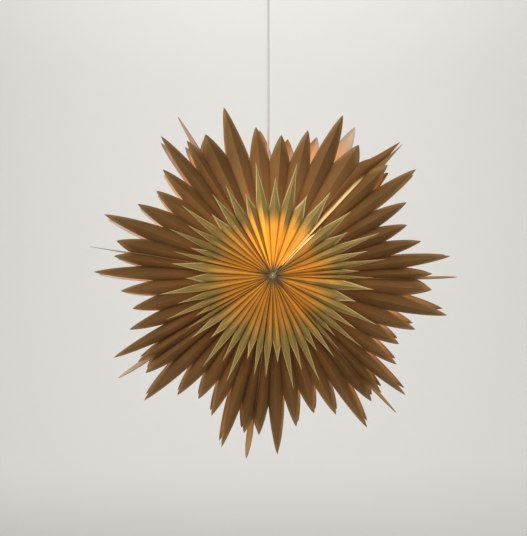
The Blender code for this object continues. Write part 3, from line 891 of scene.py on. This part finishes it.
@dataclass
class PleatedSheet:
    """One pleated sheet of leaves.

    Attributes:
        section: Number of its section, from 1.
        side: Front or rear.
        layer: Big or small leaves.
        start: Angle of its first fold, in degrees.
        end: Angle of its last fold.
        spread: Skew and ease of its leaves, as in SPREADS.
        scale: Size against the common pattern.
    """

    section: int
    side: Side
    layer: Layer
    start: float
    end: float
    spread: tuple[float, float]
    scale: float

    @property
    def node(self) -> str:
        """Name of the CAD node that this sheet stands for."""
        return f"section_{self.section}_{self.side.value}_{self.layer.value}"

    def angle(self, share: float) -> float:
        """Angle, in degrees, at a share of the sheet's span."""
        shift = (self.spread[0] + self.spread[1] * (1 - 2 * share)) * share * (1 - share)
        return self.start + (self.end - self.start) * (share + shift)

    def fold(self, index: int, pattern: LeafPattern) -> Vector:
        """Direction of a fold for one unit of radius: across, up and depth."""
        turn = math.radians(self.angle(index / (len(pattern.radii) - 1)))
        return Vector((math.cos(turn), math.sin(turn), pattern.slope(index)))

    def keep_off_panels(self, point: Vector) -> Vector:
        """Move a point of the end faces off the end panels, by the paper's gap.

        Args:
            point: The point, in sheet coordinates.

        Returns:
            The point where it stays.
        """
        near_hub = math.hypot(point.x, point.y) < PANEL_HUB - HUB_EDGE
        off = HUB_GAP if near_hub else PANEL_GAP + PANEL_PAPER + SHEET_GAP
        for degrees, side in ((self.start, 1), (self.end, -1)):
            turn = math.radians(degrees)
            normal = Vector((-math.sin(turn), math.cos(turn), 0)) * side
            short = off - point.dot(normal)
            if short > 0:
                point = point + normal * short
        return point

    def build(self, materials: Papers) -> Item:
        """Model the sheet as thick paper.

        Args:
            materials: Materials of the inner face, the outer face and the edge.

        Returns:
            The object.
        """
        pattern = PATTERNS[self.layer]
        faces = len(pattern.radii) - 1
        columns = faces * pattern.columns
        inner_rows = len(HUB_ROWS) - 1
        made = grid_object("look_" + self.node, columns, pattern.rows)
        points, across, radii, turns, rim = [], [], [], [], []
        for row in range(pattern.rows + 1):
            share = max(0, (row - inner_rows) / (pattern.rows - inner_rows)) ** ROW_POWER
            start = HUB_ROWS[min(row, inner_rows)]
            for column in range(columns + 1):
                index = min(column // pattern.columns, faces - 1)
                part = column / pattern.columns - index
                point, mountain = self.leaf_point(pattern, index, part, start, share)
                across.append(mountain)
                rim.append(share)
                radii.append(math.hypot(point.x, point.y))
                turns.append(math.degrees(math.atan2(point.y, point.x)))
                side = 1 if self.side is Side.REAR else -1
                points.append(CENTRE + Vector((point.x, side * (pattern.apex + point.z), point.y)))
        made.data.vertices.foreach_set("co", [value for point in points for value in point])
        pale = [paleness(turn) for turn in turns]
        write_values(made, leaf_across=across, leaf_radius=radii, leaf_rim=rim, leaf_pale=pale)
        write_values(made, leaf_turn=turns)
        step = Vector((0, PAPER if self.side is Side.REAR else -PAPER, 0))
        thicken(made, step, materials)
        write_lit(made, SECTION_GLOW[self.section - 1] if self.side is Side.FRONT else 1.0)
        self.write_tones_and_shade(made)
        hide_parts(self.node)
        return made

    def write_tones_and_shade(self, made: Item) -> None:
        """Store for each face a tone of its own leaf face: neighbouring faces alternate as painted
        light and shade, and each has a tone by chance too, as hand-folded paper shows.

        Args:
            made: The sheet's object.
        """
        count = len(PATTERNS[self.layer].radii) - 1
        chance = random.Random(self.node)
        tones = []
        for index in range(count):
            # Neighbouring faces painted lighter and darker, as lit and shaded sides
            face_shade = FACE_SHADE if index % 2 else -FACE_SHADE
            tones.append(1.0 + face_shade + chance.uniform(-CHANCE_TONE, CHANCE_TONE))
        folds = [self.angle(index / count) for index in range(1, count)]
        turns = made.data.attributes["leaf_turn"].data
        values = []
        for face in made.data.polygons:
            turn = sum(turns[i].value for i in face.vertices) / len(face.vertices)
            turn += 360 * round(((self.start + self.end) / 2 - turn) / 360)
            values.append(tones[sum(fold < turn for fold in folds)])
        write_values(made, "FACE", leaf_tone=values)

    def leaf_point(
        self, pattern: LeafPattern, index: int, part: float, inner: float, share: float
    ) -> tuple[Vector, float]:
        """Find a point of one leaf face.

        Args:
            pattern: The layer's pattern.
            index: Number of the leaf face, from 0.
            part: Share of the face's width.
            inner: Radius at which the row of points starts.
            share: Share of the way from there to the outline.

        Returns:
            The point in sheet coordinates, and how near it lies to the mountain fold.
        """
        low = pattern.radii[index] * self.scale
        high = pattern.radii[index + 1] * self.scale
        rising = high > low
        notch, tip = min(low, high), max(low, high)
        mountain = part if rising else 1 - part
        reach = tip - (tip - notch) * (1 - mountain) ** pattern.curve
        radius = inner + (reach - inner) * share
        first, second = self.fold(index, pattern), self.fold(index + 1, pattern)
        point = self.keep_off_panels((first * (1 - part) + second * part) * radius)
        return point, mountain


@dataclass
class EndPanel:
    """One end panel of a section.

    Attributes:
        section: Number of its section, from 1.
        at_start: Whether it is the section's first panel.
        angles: Its boundary's four angles and the lean of its tip.
    """

    section: int
    at_start: bool
    angles: tuple[float, ...]

    @property
    def node(self) -> str:
        """Name of the CAD node that this panel stands for."""
        return f"section_{self.section}_{'start' if self.at_start else 'end'}_panel"

    def angle(self, depth: float, radius: float = 0.0) -> float:
        """Find the panel's angle at a place.

        Args:
            depth: Depth towards the front.
            radius: Radius, which counts beyond the leaves only.

        Returns:
            The angle in degrees.
        """
        start, tip = TIP_RADII
        further = self.angles[4] * max(0.0, radius - start) / (tip - start) * depth / TIP_DEPTH
        return between(depth, tuple((at, self.angles[place]) for at, place in LEAN)) + further

    def build(self, materials: Papers) -> Item:
        """Model the panel as thick paper with its light window.

        Args:
            materials: Materials of the inner face, the outer face and the edge.

        Returns:
            The object.
        """
        shares = [-share for share in PANEL_SHARES[:0:-1]] + list(PANEL_SHARES)
        near, far_rows = PANEL_NEAR, PANEL_FAR_ROWS
        rows = len(near) - 1 + far_rows
        made = grid_object("look_" + self.node, len(shares) - 1, rows)
        ends = [tuple(zip(PANEL_ENDS, values)) for values in (PANEL_END_RADII, PANEL_END_DEPTHS)]
        points, radii, rim = [], [], []
        for row in range(rows + 1):
            for share in shares:
                end_radius, end_depth = (between(abs(share), table) for table in ends)
                hub_depth = PANEL_HUB_DEPTH * abs(share)
                if row < len(near):
                    radius = near[row]
                else:
                    radius = near[-1] + (end_radius - near[-1]) * (row - len(near) + 1) / far_rows
                part = (radius - PANEL_HUB) / (end_radius - PANEL_HUB)
                depth = hub_depth + (end_depth - hub_depth) * part
                depth = math.copysign(depth, share) if share else 0.0
                points.append(star_point(radius, self.angle(depth, radius), depth))
                radii.append(radius)
                rim.append(self.seam_rim(radius, depth))
        turn = math.radians(self.angle(0.0))
        into = Vector((-math.sin(turn), 0, math.cos(turn))) * (1 if self.at_start else -1)
        shift = into * PANEL_GAP
        made.data.vertices.foreach_set("co", [value for point in points for value in point + shift])
        level = {"leaf_across": PANEL_ACROSS, "leaf_pale": paleness(self.angle(0.0))}
        write_values(made, leaf_radius=radii, leaf_rim=rim)
        write_values(made, **{name: [value] * len(points) for name, value in level.items()})
        self.open_window(made, shares)
        thicken(made, into * PANEL_PAPER, materials)
        write_lit(made)
        self.write_tones_and_shade(made)
        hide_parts(self.node)
        return made

    def write_tones_and_shade(self, made: Item) -> None:
        """Store a tone for each point: painted shade between the leaves, where only a slit of paper
        shows.

        Args:
            made: The panel's object.
        """
        at_seam = (self.section, self.at_start) in ((1, True), (len(SPREADS), False))
        faces = made.data.polygons
        inner = {i for face in faces if face.material_index == 1 for i in face.vertices}
        (leaves, length), (lit, fade), (deep, sinks) = LEAVES_END, LIT_RADIUS, LIT_DEPTH
        tones = []
        for i, radius in enumerate(made.data.attributes["leaf_radius"].data):
            share = ramp(radius.value - leaves, length)
            if i in inner:
                depth = abs(made.data.vertices[i].co.y)
                share = max(share, ramp(lit - radius.value, fade) * ramp(deep - depth, sinks))
            # Painted shade between the leaves: SLIT_SHADE there, full tone beyond the leaves and
            # near the lamp
            tones.append(1.0 if at_seam else SLIT_SHADE + (1 - SLIT_SHADE) * share)
        write_values(made, leaf_tone=tones)

    def seam_rim(self, radius: float, depth: float) -> float:
        """Keep the seam's pale strip, painted light of the lamp shining through, to its own part of
        the two panels there, and give the rest of them painted shade.

        Args:
            radius: Radius of a point of the panel.
            depth: Its depth towards the front.

        Returns:
            The value of leaf_rim: 0 away from the seam, and there SEAM_LAMPLIT on the lit strip,
                more in
            the painted shade.
        """
        if self.section == 1 and self.at_start:
            past, gains = depth - between(radius, SEAM_STRIP), STRIP_GAINS
        elif self.section == len(SPREADS) and not self.at_start:
            past, gains = between(radius, SEAM_FOLD) - depth, FOLD_GAINS
        else:
            return 0.0
        # SEAM_LAMPLIT keeps the painted lamp-lit cream; the gains turn it into painted shade
        return SEAM_LAMPLIT + sum(gain * ramp(past, length) for gain, length in gains)

    def open_window(self, made: Item, shares: list[float]) -> None:
        """Delete the faces of the light window.

        Args:
            made: The panel's object, with no thickness yet.
            shares: Places of its lines.
        """
        columns = len(shares) - 1
        first, last = (PANEL_NEAR.index(radius) for radius in WINDOW_RADII)
        with editing(made, "DESELECT"):
            bpy.ops.mesh.select_mode(type="FACE")
        for face in made.data.polygons:
            corners = [divmod(i, columns + 1) for i in face.vertices]
            rows = [row for row, _ in corners]
            inner = all(abs(shares[column]) <= WINDOW_SHARE for _, column in corners)
            face.select = inner and min(rows) >= first and max(rows) <= last
        with editing(made):
            bpy.ops.mesh.delete(type="FACE")


@dataclass
class PaperStar:
    """All the paper of the star.

    Attributes:
        boundaries: Angles of the end panels between the sections.
        spreads: Skew and ease of each section's sheets.
        lamp_scale: Size of the big sheets of the section that holds the lamp.
    """

    boundaries: tuple[tuple[float, ...], ...] = BOUNDARIES
    spreads: tuple[Pairs, ...] = SPREADS
    lamp_scale: float = LAMP_SCALE

    def __post_init__(self) -> None:
        """Make the papers' materials."""
        outer = {Layer.BIG: BIG_OUTER, Layer.SMALL: SMALL_OUTER}
        self.inner = PaperSurface(INNER).material
        self.outer = {layer: PaperSurface(finish).material for layer, finish in outer.items()}
        self.edge = PlainSurface(EDGE).material
        self.seam = PaperSurface(SEAM_LIGHT_AND_SHADE).material

    def sheet_of(self, number: int, side: Side, layer: Layer) -> PleatedSheet:
        """Describe one sheet of a section.

        Args:
            number: Number of the section, from 1.
            side: Front or rear.
            layer: Big or small leaves.

        Returns:
            The sheet, not modelled yet.
        """
        if side is Side.REAR:
            place, kind = 3, 2
        else:
            place, kind = (0, 0) if layer is Layer.SMALL else (1, 1)
        spread = self.spreads[number - 1][kind]
        scale = self.lamp_scale if number == 1 and layer is Layer.BIG else 1.0
        start, end = self.boundaries[number - 1][place], self.boundaries[number][place]
        return PleatedSheet(number, side, layer, start, end, spread, scale)

    def build(self) -> None:
        """Model every sheet and panel, section by section."""
        for number in range(1, len(self.boundaries)):
            own = "star" if number == 1 else f"fold_{number}"
            before = "star" if number <= 2 else f"fold_{number - 1}"
            for side in Side:
                for layer in Layer:
                    sheet = self.sheet_of(number, side, layer)
                    made = sheet.build((self.inner, self.outer[layer], self.edge))
                    self.attach(made, before, own)
                    LOG.info("%s: %d faces", sheet.node, len(made.data.polygons))
            first = EndPanel(number, True, self.boundaries[number - 1])
            last = EndPanel(number, False, self.boundaries[number])
            at_seam = (number == 1, number == len(self.boundaries) - 1)
            faces = [self.seam if seam else self.outer[Layer.BIG] for seam in at_seam]
            for panel, face, body in ((first, faces[0], before), (last, faces[1], own)):
                made = panel.build((face, self.inner, face))
                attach(made, body)
                LOG.info("%s: %d faces", panel.node, len(made.data.polygons))

    def attach(self, made: Item, before: str, own: str) -> None:
        """Let a sheet ride on its own body where that is also the body before; otherwise only bake
        its place into its mesh.

        Args:
            made: The sheet's object.
            before: Body of the section before.
            own: Body of its own section.
        """
        if before == own:
            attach(made, own)
            return
        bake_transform(made)
        turns = [0.0] * len(made.data.vertices)
        made.data.attributes["leaf_turn"].data.foreach_get("value", turns)


@dataclass(frozen=True)
class Thread:
    """Screw thread or ribs on a round wall.

    Attributes:
        pitch: Height of one turn or rib.
        depth: How far it cuts in.
        top: Height at which it starts.
        end: Height at which it ends.
        helix: Whether it winds, as a screw thread does.
    """

    pitch: float
    depth: float
    top: float
    end: float
    helix: bool

    def cut(self, height: float, turn: float) -> float:
        """Find how far it cuts in at a place of the wall.

        Args:
            height: The place's height.
            turn: Its angle about the axis, in radians.

        Returns:
            The cut's depth there.
        """
        into, out = self.top - height, height - self.end
        inside = min(ramp(into, self.pitch / 2), ramp(out, self.pitch / 2))
        phase = math.tau * height / self.pitch - (turn if self.helix else 0.0)
        return self.depth * inside * wave(phase)


def wave(phase: float) -> float:
    """Wave from 0 to 1 and back over one turn of its phase."""
    return 0.5 - 0.5 * math.cos(phase)


@dataclass(frozen=True)
class TurnedPart:
    """One round part about the cord's axis, modelled finer than its CAD node.

    Attributes:
        node: Name of the CAD node that it stands for.
        slot: Its material slot.
        body: The body on which it rides.
        top: Height of the profile's zero.
        profile: Pairs of radius and height round its section, from the axis and back, or closed.
        rounding: Radius to which the profile's corners are rounded.
        steps: Number of faces round it.
        thread: Screw thread or ribs on its outer wall.
        flutes: Number and depth of the flutes round its rim.
    """

    node: str
    slot: str
    body: str
    top: float
    profile: Pairs
    rounding: float = 0.0
    steps: int = 72
    thread: Thread | None = None
    flutes: tuple[int, float] | None = None

    @property
    def closed(self) -> bool:
        """Whether the profile is a loop off the axis."""
        return self.profile[0][0] > 0 and self.profile[-1][0] > 0

    def line(self) -> list[Vector]:
        """Round the profile's corners and divide its long runs.

        Returns:
            Its points, as radius and height.
        """
        count = len(self.profile)
        line = []
        for i, (radius, height) in enumerate(self.profile):
            at_end = not self.closed and i in (0, count - 1)
            here = Vector((radius, height))
            if at_end or not self.rounding:
                line.append(here)
                continue
            before = Vector(self.profile[i - 1]) - here
            after = Vector(self.profile[(i + 1) % count]) - here
            first = here + before.normalized() * min(self.rounding, 0.45 * before.length)
            last = here + after.normalized() * min(self.rounding, 0.45 * after.length)
            for share in (0.0, 0.25, 0.5, 0.75, 1.0):
                left = 1 - share
                line.append(first * left**2 + here * 2 * share * left + last * share**2)
        return self.divide(line)

    def divide(self, line: list[Vector]) -> list[Vector]:
        """Divide the runs of a line so that a thread's form shows in them.

        Args:
            line: The profile's points.

        Returns:
            More points on the same runs.
        """
        if not self.thread:
            return line
        most = self.thread.pitch / 6
        divided = []
        for here, after in zip(line, line[1:] + line[:1]):
            runs_on = after is not line[0] or self.closed
            parts = max(1, round(abs(after.y - here.y) / most)) if runs_on else 1
            divided += [here.lerp(after, part / parts) for part in range(parts)]
        return divided

    def radius(self, point: Vector, turn: float, widest: float) -> float:
        """Cut the thread and the flutes into the outer wall.

        Args:
            point: Point of the profile.
            turn: Angle about the axis, in radians.
            widest: The profile's largest radius.

        Returns:
            The point's radius at that turn.
        """
        radius = point.x
        if radius <= widest - OUTER_WALL:
            return radius
        if self.thread:
            radius -= self.thread.cut(point.y, turn)
        if self.flutes:
            number, depth = self.flutes
            radius -= depth * wave(number * turn)
        return radius

    def build(self, finish: bpy.types.Material) -> Item:
        """Spin the profile round the cord's axis.

        Args:
            finish: Its material.

        Returns:
            The object.
        """
        line = self.line()
        widest = max(point.x for point in line)
        bm = bmesh.new()
        rings = []
        for point in line:
            if point.x < ON_AXIS:
                rings.append([bm.verts.new((0.0, 0.0, self.top + point.y))] * self.steps)
                continue
            ring = []
            for step in range(self.steps):
                turn = math.tau * step / self.steps
                radius = self.radius(point, turn, widest)
                spot = (radius * math.cos(turn), radius * math.sin(turn), self.top + point.y)
                ring.append(bm.verts.new(spot))
            rings.append(ring)
        pairs = list(zip(rings, rings[1:] + rings[:1]))
        for first, second in pairs if self.closed else pairs[:-1]:
            for step in range(self.steps):
                after = (step + 1) % self.steps
                face = (first[step], first[after], second[after], second[step])
                if len(set(face)) > 2:
                    bm.faces.new(list(dict.fromkeys(face)))
        bmesh.ops.recalc_face_normals(bm, faces=bm.faces)
        mesh = bpy.data.meshes.new("look_" + self.node)
        bm.to_mesh(mesh)
        bm.free()
        mesh.materials.append(finish)
        made = new_object(mesh.name, mesh)
        smooth(made)
        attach(made, self.body)
        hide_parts(self.node)
        return made


def smooth(made: Item) -> None:
    """Shade an object smooth, with its sharp edges kept.

    Args:
        made: The object.
    """
    select_only(made)
    bpy.ops.object.shade_smooth_by_angle(angle=math.radians(SMOOTH_UP_TO))


def cup_profile() -> Pairs:
    """Draw the section of the ceiling cup: a bowl of even wall with a nose for the cord.

    Returns:
        Its closed profile.
    """
    radius, height, wall, bore = 0.043, 0.052, 0.0016, 0.003
    nose, straight, bowl = bore + 0.0055, 0.23 * height, 0.695 * height
    outer, inner = [(radius, 0.0)], [(radius - wall, 0.0)]
    for step in range(15):
        turn = math.radians(90 * step / 14)
        for line, less in ((outer, 0.0), (inner, wall)):
            across = (radius - less) * math.cos(turn)
            if across > nose + less:
                line.append((across, -straight - (bowl - less) * math.sin(turn)))
    outer += [(nose, outer[-1][1] - 0.0006), (nose, -height), (bore, -height)]
    return tuple(outer + [(bore, inner[-1][1] - 0.0004)] + inner[::-1])


def glass_profile() -> Pairs:
    """Draw the section of the bulb's glass: neck and globe, down outside and back up inside.

    Returns:
        Its closed profile.
    """
    globe, wall, end = 0.0225, 0.0009, -0.078
    neck = ((0.0068, -0.0259), (0.0074, -0.0285), (0.0083, -0.0312), (0.0094, -0.0337))
    outer, inner = list(neck), [(radius - wall, height) for radius, height in neck]
    for step in range(29):
        turn = math.radians(62 - 152 * step / 28)
        for line, radius in ((outer, globe), (inner, globe - wall)):
            line.append((radius * math.cos(turn), end + globe + radius * math.sin(turn)))
    outer[-1], inner[-1] = (0.0, end), (0.0, end + wall)
    return tuple(outer + inner[::-1])


FLEX_FINISH = PlainFinish("flex_sheath", (0.87, 0.87, 0.85), (0.80, 0.80, 0.78), 0.42, grain=0.003)
LAMP_FINISHES = {
    "holder": PlainFinish("holder_plastic", (0.86, 0.86, 0.84), (0.80, 0.80, 0.78), 0.32, coat=0.2),
    "plastic": PlainFinish("cup_plastic", (0.88, 0.88, 0.86), (0.84, 0.84, 0.82), 0.30, coat=0.3),
    "steel": PlainFinish("zinc_steel", (0.62, 0.62, 0.64), (0.48, 0.48, 0.50), 0.34, 1.0, 0.003),
    "brass": PlainFinish("bulb_brass", (0.83, 0.66, 0.38), (0.70, 0.52, 0.28), 0.28, 1.0, 0.003),
    "ceramic": PlainFinish("contact_ceramic", (0.86, 0.84, 0.78), (0.80, 0.77, 0.70), 0.55),
    "thread": PlainFinish(
        "binding_cotton", (0.85, 0.80, 0.70), (0.70, 0.62, 0.50), 0.85, grain=0.0006
    ),
    "pad": PlainFinish("pad_fleece", (0.88, 0.88, 0.85), (0.74, 0.74, 0.71), 0.9, grain=0.0008),
    "glass": PlainFinish("bulb_frost", (1.0, 0.80, 0.50), (1.0, 0.76, 0.44), 0.25, glow=3.0),
}


@dataclass(frozen=True)
class Lamp:
    """The lamp, the ceiling fitting and the small parts of the star.

    Attributes:
        bracket: Profile of the ceiling bracket: pairs of radius and height, as all those below.
        screw_holes: Place and radius of the bracket's holes.
        grip: Profile of the cord grip.
        cap: Profile of the lampholder's cap.
        holder: Profile of the lampholder's body.
        ring: Profile of the clamping ring.
        block: Profile of the contact block.
        tip: Profile of the bulb's foot contact.
        bulb_cap: Profile of the bulb's screw cap.
        bulb_top: Height of the foot contact's top.
    """

    bracket: Pairs = (
        (0, 0),
        (0.030, 0),
        (0.030, -0.0025),
        (0.005, -0.0025),
        (0.005, -0.0200),
        (0, -0.0200),
    )
    screw_holes: Pairs = ((-0.020, 0.0022), (0.020, 0.0022))
    grip: Pairs = ((0, 0), (0.0046, 0), (0.0058, -0.002), (0.0058, -0.013), (0, -0.013))
    cap: Pairs = (
        (0, 0),
        (0.0068, 0),
        (0.0119, -0.004),
        (0.014, -0.010),
        (0.014, -0.020),
        (0, -0.020),
    )
    holder: Pairs = (
        (0, 0),
        (0.0140, 0),
        (0.0140, -0.0342),
        (0.0125, -0.0362),
        (0.0078, -0.0362),
        (0.0078, -0.006),
        (0, -0.006),
    )
    ring: Pairs = ((0.0143, 0), (0.0185, 0), (0.0185, -0.007), (0.0143, -0.007))
    block: Pairs = ((0, 0), (0.0075, 0), (0.0075, -0.004), (0, -0.004))
    tip: Pairs = ((0, 0), (0.0022, -0.0002), (0.0033, -0.0008), (0.0040, -0.0018), (0, -0.0018))
    bulb_cap: Pairs = (
        (0, -0.0021),
        (0.0045, -0.0021),
        (0.0070, -0.0046),
        (0.0070, -0.0256),
        (0, -0.0256),
    )
    bulb_top: float = -0.5285

    def turned_parts(self) -> tuple[TurnedPart, ...]:
        """List the round parts that are modelled here again.

        Returns:
            The parts, from the ceiling down.
        """
        top = self.bulb_top
        ribs = Thread(0.003, 0.0007, -0.003, -0.012, False)
        screw = Thread(0.00282, 0.0008, -0.004, -0.022, True)
        rim = (36, 0.0006)
        return (
            TurnedPart("ceiling_bracket", "steel", "ceiling", 0.0, self.bracket, 0.0005, 96),
            TurnedPart("ceiling_cup", "plastic", "cup", -0.0029, cup_profile(), 0.0006, 96),
            TurnedPart("cord_grip", "holder", "star", -0.4843, self.grip, 0.0006, 48, ribs),
            TurnedPart("lampholder_cap", "holder", "star", -0.4976, self.cap, 0.0022),
            TurnedPart("lampholder_body", "holder", "star", -0.5179, self.holder, 0.0006),
            TurnedPart("shade_ring", "holder", "star", -0.5319, self.ring, 0.0008, 144, None, rim),
            TurnedPart("contact_block", "ceramic", "star", -0.5242, self.block, 0.0005, 48),
            TurnedPart("bulb_tip", "brass", "bulb_foot", top, self.tip, 0.0002, 32),
            TurnedPart("bulb_cap", "brass", "bulb", top, self.bulb_cap, 0.0006, 64, screw),
            TurnedPart("bulb_glass", "glass", "bulb", top, glass_profile(), 0.0, 64),
        )

    def build(self, frame: dict) -> None:
        """Model the round parts and give every CAD node that stays its material.
        """
        made = {key: PlainSurface(finish).material for key, finish in LAMP_FINISHES.items()}
        slots = {part["node"]: part["material_slot"] for part in frame["record"]["subparts"]}
        modelled = set()
        for part in self.turned_parts():
            item = part.build(made[part.slot])
            if part.node == "ceiling_bracket":
                self.drill(item)
            modelled.add(part.node)
            LOG.info("%s: %d faces", part.node, len(item.data.polygons))
        for node, item in frame["nodes"].items():
            if slots[node] in LAMP_FINISHES and node not in modelled:
                item.data.materials.clear()
                item.data.materials.append(made[slots[node]])
                if slots[node] in ("steel", "thread"):
                    smooth(item)
                LOG.info("%s: the CAD solid with its material", node)

    def drill(self, bracket: Item) -> None:
        """Cut the bracket's two screw holes.

        Args:
            bracket: The bracket, not drilled yet.
        """
        for place, radius in self.screw_holes:
            deselect()
            bpy.ops.mesh.primitive_cylinder_add(
                vertices=32, radius=radius, depth=0.02, location=(place, 0, 0)
            )
            cutter = bpy.context.object
            change = bracket.modifiers.new("hole", "BOOLEAN")
            change.object = cutter
            select_only(bracket)
            bpy.ops.object.modifier_apply(modifier="hole")
            bpy.data.objects.remove(cutter)
        smooth(bracket)


@dataclass(frozen=True)
class Cord:
    """The taut flex from the ceiling bracket down to the lampholder.

    Attributes:
        top: Height of its upper end.
        end: Height of its lower end.
        radius: Radius of its sheath.
        points: Number of points along it.
        finish: Look of its sheath.
    """

    top: float = -0.0203
    end: float = -0.484
    radius: float = 0.0025
    points: int = 46
    finish: PlainFinish = FLEX_FINISH

    def build(self) -> None:
        curve = bpy.data.curves.new("look_flex", "CURVE")
        curve.dimensions = "3D"
        curve.bevel_depth = self.radius
        curve.bevel_resolution = 4
        curve.use_fill_caps = True
        line = curve.splines.new("POLY")
        line.points.add(self.points - 1)
        for i, point in enumerate(line.points):
            point.co = (0.0, 0.0, self.top + (self.end - self.top) * i / (self.points - 1), 1.0)
        curve.materials.append(PlainSurface(self.finish).material)
        made = new_object("look_flex", curve)
        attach(made, "ceiling")
        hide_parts("flex")
        LOG.info("flex: a cord of %.3f m", self.top - self.end)


@dataclass(frozen=True)
class AreaLight:
    """One soft square light that looks at a point.

    Attributes:
        name: Its name.
        place: Where it stands.
        size: Its side in metres.
        power: Its power in watts.
        colour: Its colour.
        target: The point that it looks at.
    """

    name: str
    place: Place
    size: float
    power: float
    colour: Colour
    target: Place = tuple(CENTRE)

    def build(self) -> None:
        """Add the light."""
        data = bpy.data.lights.new(self.name, "AREA")
        data.shape = "SQUARE"
        data.size = self.size
        data.energy = self.power
        data.color = self.colour
        made = new_object(self.name, data, self.place)
        looks = Vector(self.target) - Vector(self.place)
        made.rotation_euler = looks.to_track_quat("-Z", "Y").to_euler()


@dataclass(frozen=True)
class Studio:
    """Camera, lights, backdrop and floor.

    Attributes:
        half_width: Half the width of the floor and the wall.
        near: Where the floor starts.
        bend: Where it starts to sweep up.
        curve: Radius of the sweep.
        floor: Height of the floor.
        wall_top: Height of the wall.
        lights: The soft lights.
        pale: Colour of the floor, the wall and the sky.
        sky: Strength of the sky's light.
        bulb_power: Power of the light at the bulb.
        bulb_colour: Its colour.
        bulb_radius: Its radius.
        bulb_drop: How far it lies below the bulb's middle.
    """

    half_width: float = 14.0
    near: float = -11.0
    bend: float = 6.5
    curve: float = 2.5
    floor: float = -1.75
    wall_top: float = 9.0
    lights: tuple[AreaLight, ...] = (
        AreaLight("key", (-1.7, -2.5, 1.2), 1.4, 50.0, (1.0, 0.97, 0.93)),
        AreaLight("fill", (1.2, -2.1, -1.7), 2.0, 24.0, (1.0, 0.98, 0.96)),
        AreaLight("rear", (1.6, 3.2, 1.4), 1.6, 22.0, (1.0, 0.98, 0.95)),
        AreaLight("wall", (0.0, 5.6, 3.2), 4.0, 155.0, (1.0, 0.99, 0.97), (0.0, 9.0, -0.6)),
    )
    pale: Colour = (0.80, 0.79, 0.77)
    sky: float = 0.40
    bulb_power: float = 0.15
    bulb_colour: Colour = (1.0, 0.62, 0.28)
    bulb_radius: float = 0.022
    bulb_drop: float = 0.028

    def build(self) -> None:
        """Make the whole stage."""
        self.camera()
        self.backdrop()
        for light in self.lights:
            light.build()
        self.bulb_light()
        bpy.context.scene.view_settings.view_transform = "Standard"

    def camera(self) -> None:
        """Put the camera where the photograph was taken from."""
        data = bpy.data.cameras.new("camera")
        data.lens = CAMERA_LENS
        data.sensor_width = 36.0
        data.clip_end = 50.0
        made = new_object("camera", data, CAMERA_AT)
        made.rotation_euler = (math.radians(90), 0, 0)
        bpy.context.scene.camera = made

    def backdrop(self) -> None:
        """Make the plain pale floor that sweeps up into the wall behind the star."""
        surface = Surface("backdrop")
        surface.put(Base_Color=rgba(self.pale), Roughness=0.9)
        line = [(self.near, self.floor), (self.bend, self.floor)]
        for step in range(1, 25):
            turn = math.radians(90 * step / 24)
            rise = self.curve * (1 - math.cos(turn))
            line.append((self.bend + self.curve * math.sin(turn), self.floor + rise))
        line.append((self.bend + self.curve, self.wall_top))
        sweep = grid_object("floor", 1, len(line) - 1)
        places = [(x, y, z) for y, z in line for x in (-self.half_width, self.half_width)]
        sweep.data.vertices.foreach_set("co", [value for place in places for value in place])
        sweep.data.shade_smooth()
        sweep.data.materials.append(surface.material)
        world = bpy.context.scene.world or bpy.data.worlds.new("world")
        bpy.context.scene.world = world
        world.use_nodes = True
        ground = world.node_tree.nodes["Background"]
        ground.inputs["Color"].default_value = rgba(self.pale)
        ground.inputs["Strength"].default_value = self.sky

    def bulb_light(self) -> None:
        """Add the light of the bulb inside the star."""
        data = bpy.data.lights.new("bulb_light", "POINT")
        data.energy = self.bulb_power
        data.shadow_soft_size = self.bulb_radius
        data.color = self.bulb_colour
        new_object("bulb_light", data, BULB_CENTRE + Vector((0, 0, -self.bulb_drop)))


def corners(box: tuple) -> list[list[float]]:
    """Plain lists of a box's lowest and highest corner."""
    return [list(point) for point in box]


def main() -> None:
    """Build the looks in order."""
    logging.basicConfig(level=logging.INFO, format="%(name)s: %(message)s")
    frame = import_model()
    Studio().build()
    Cord().build()
    PaperStar().build()
    Lamp().build(frame)


if __name__ == "__main__":
    main()
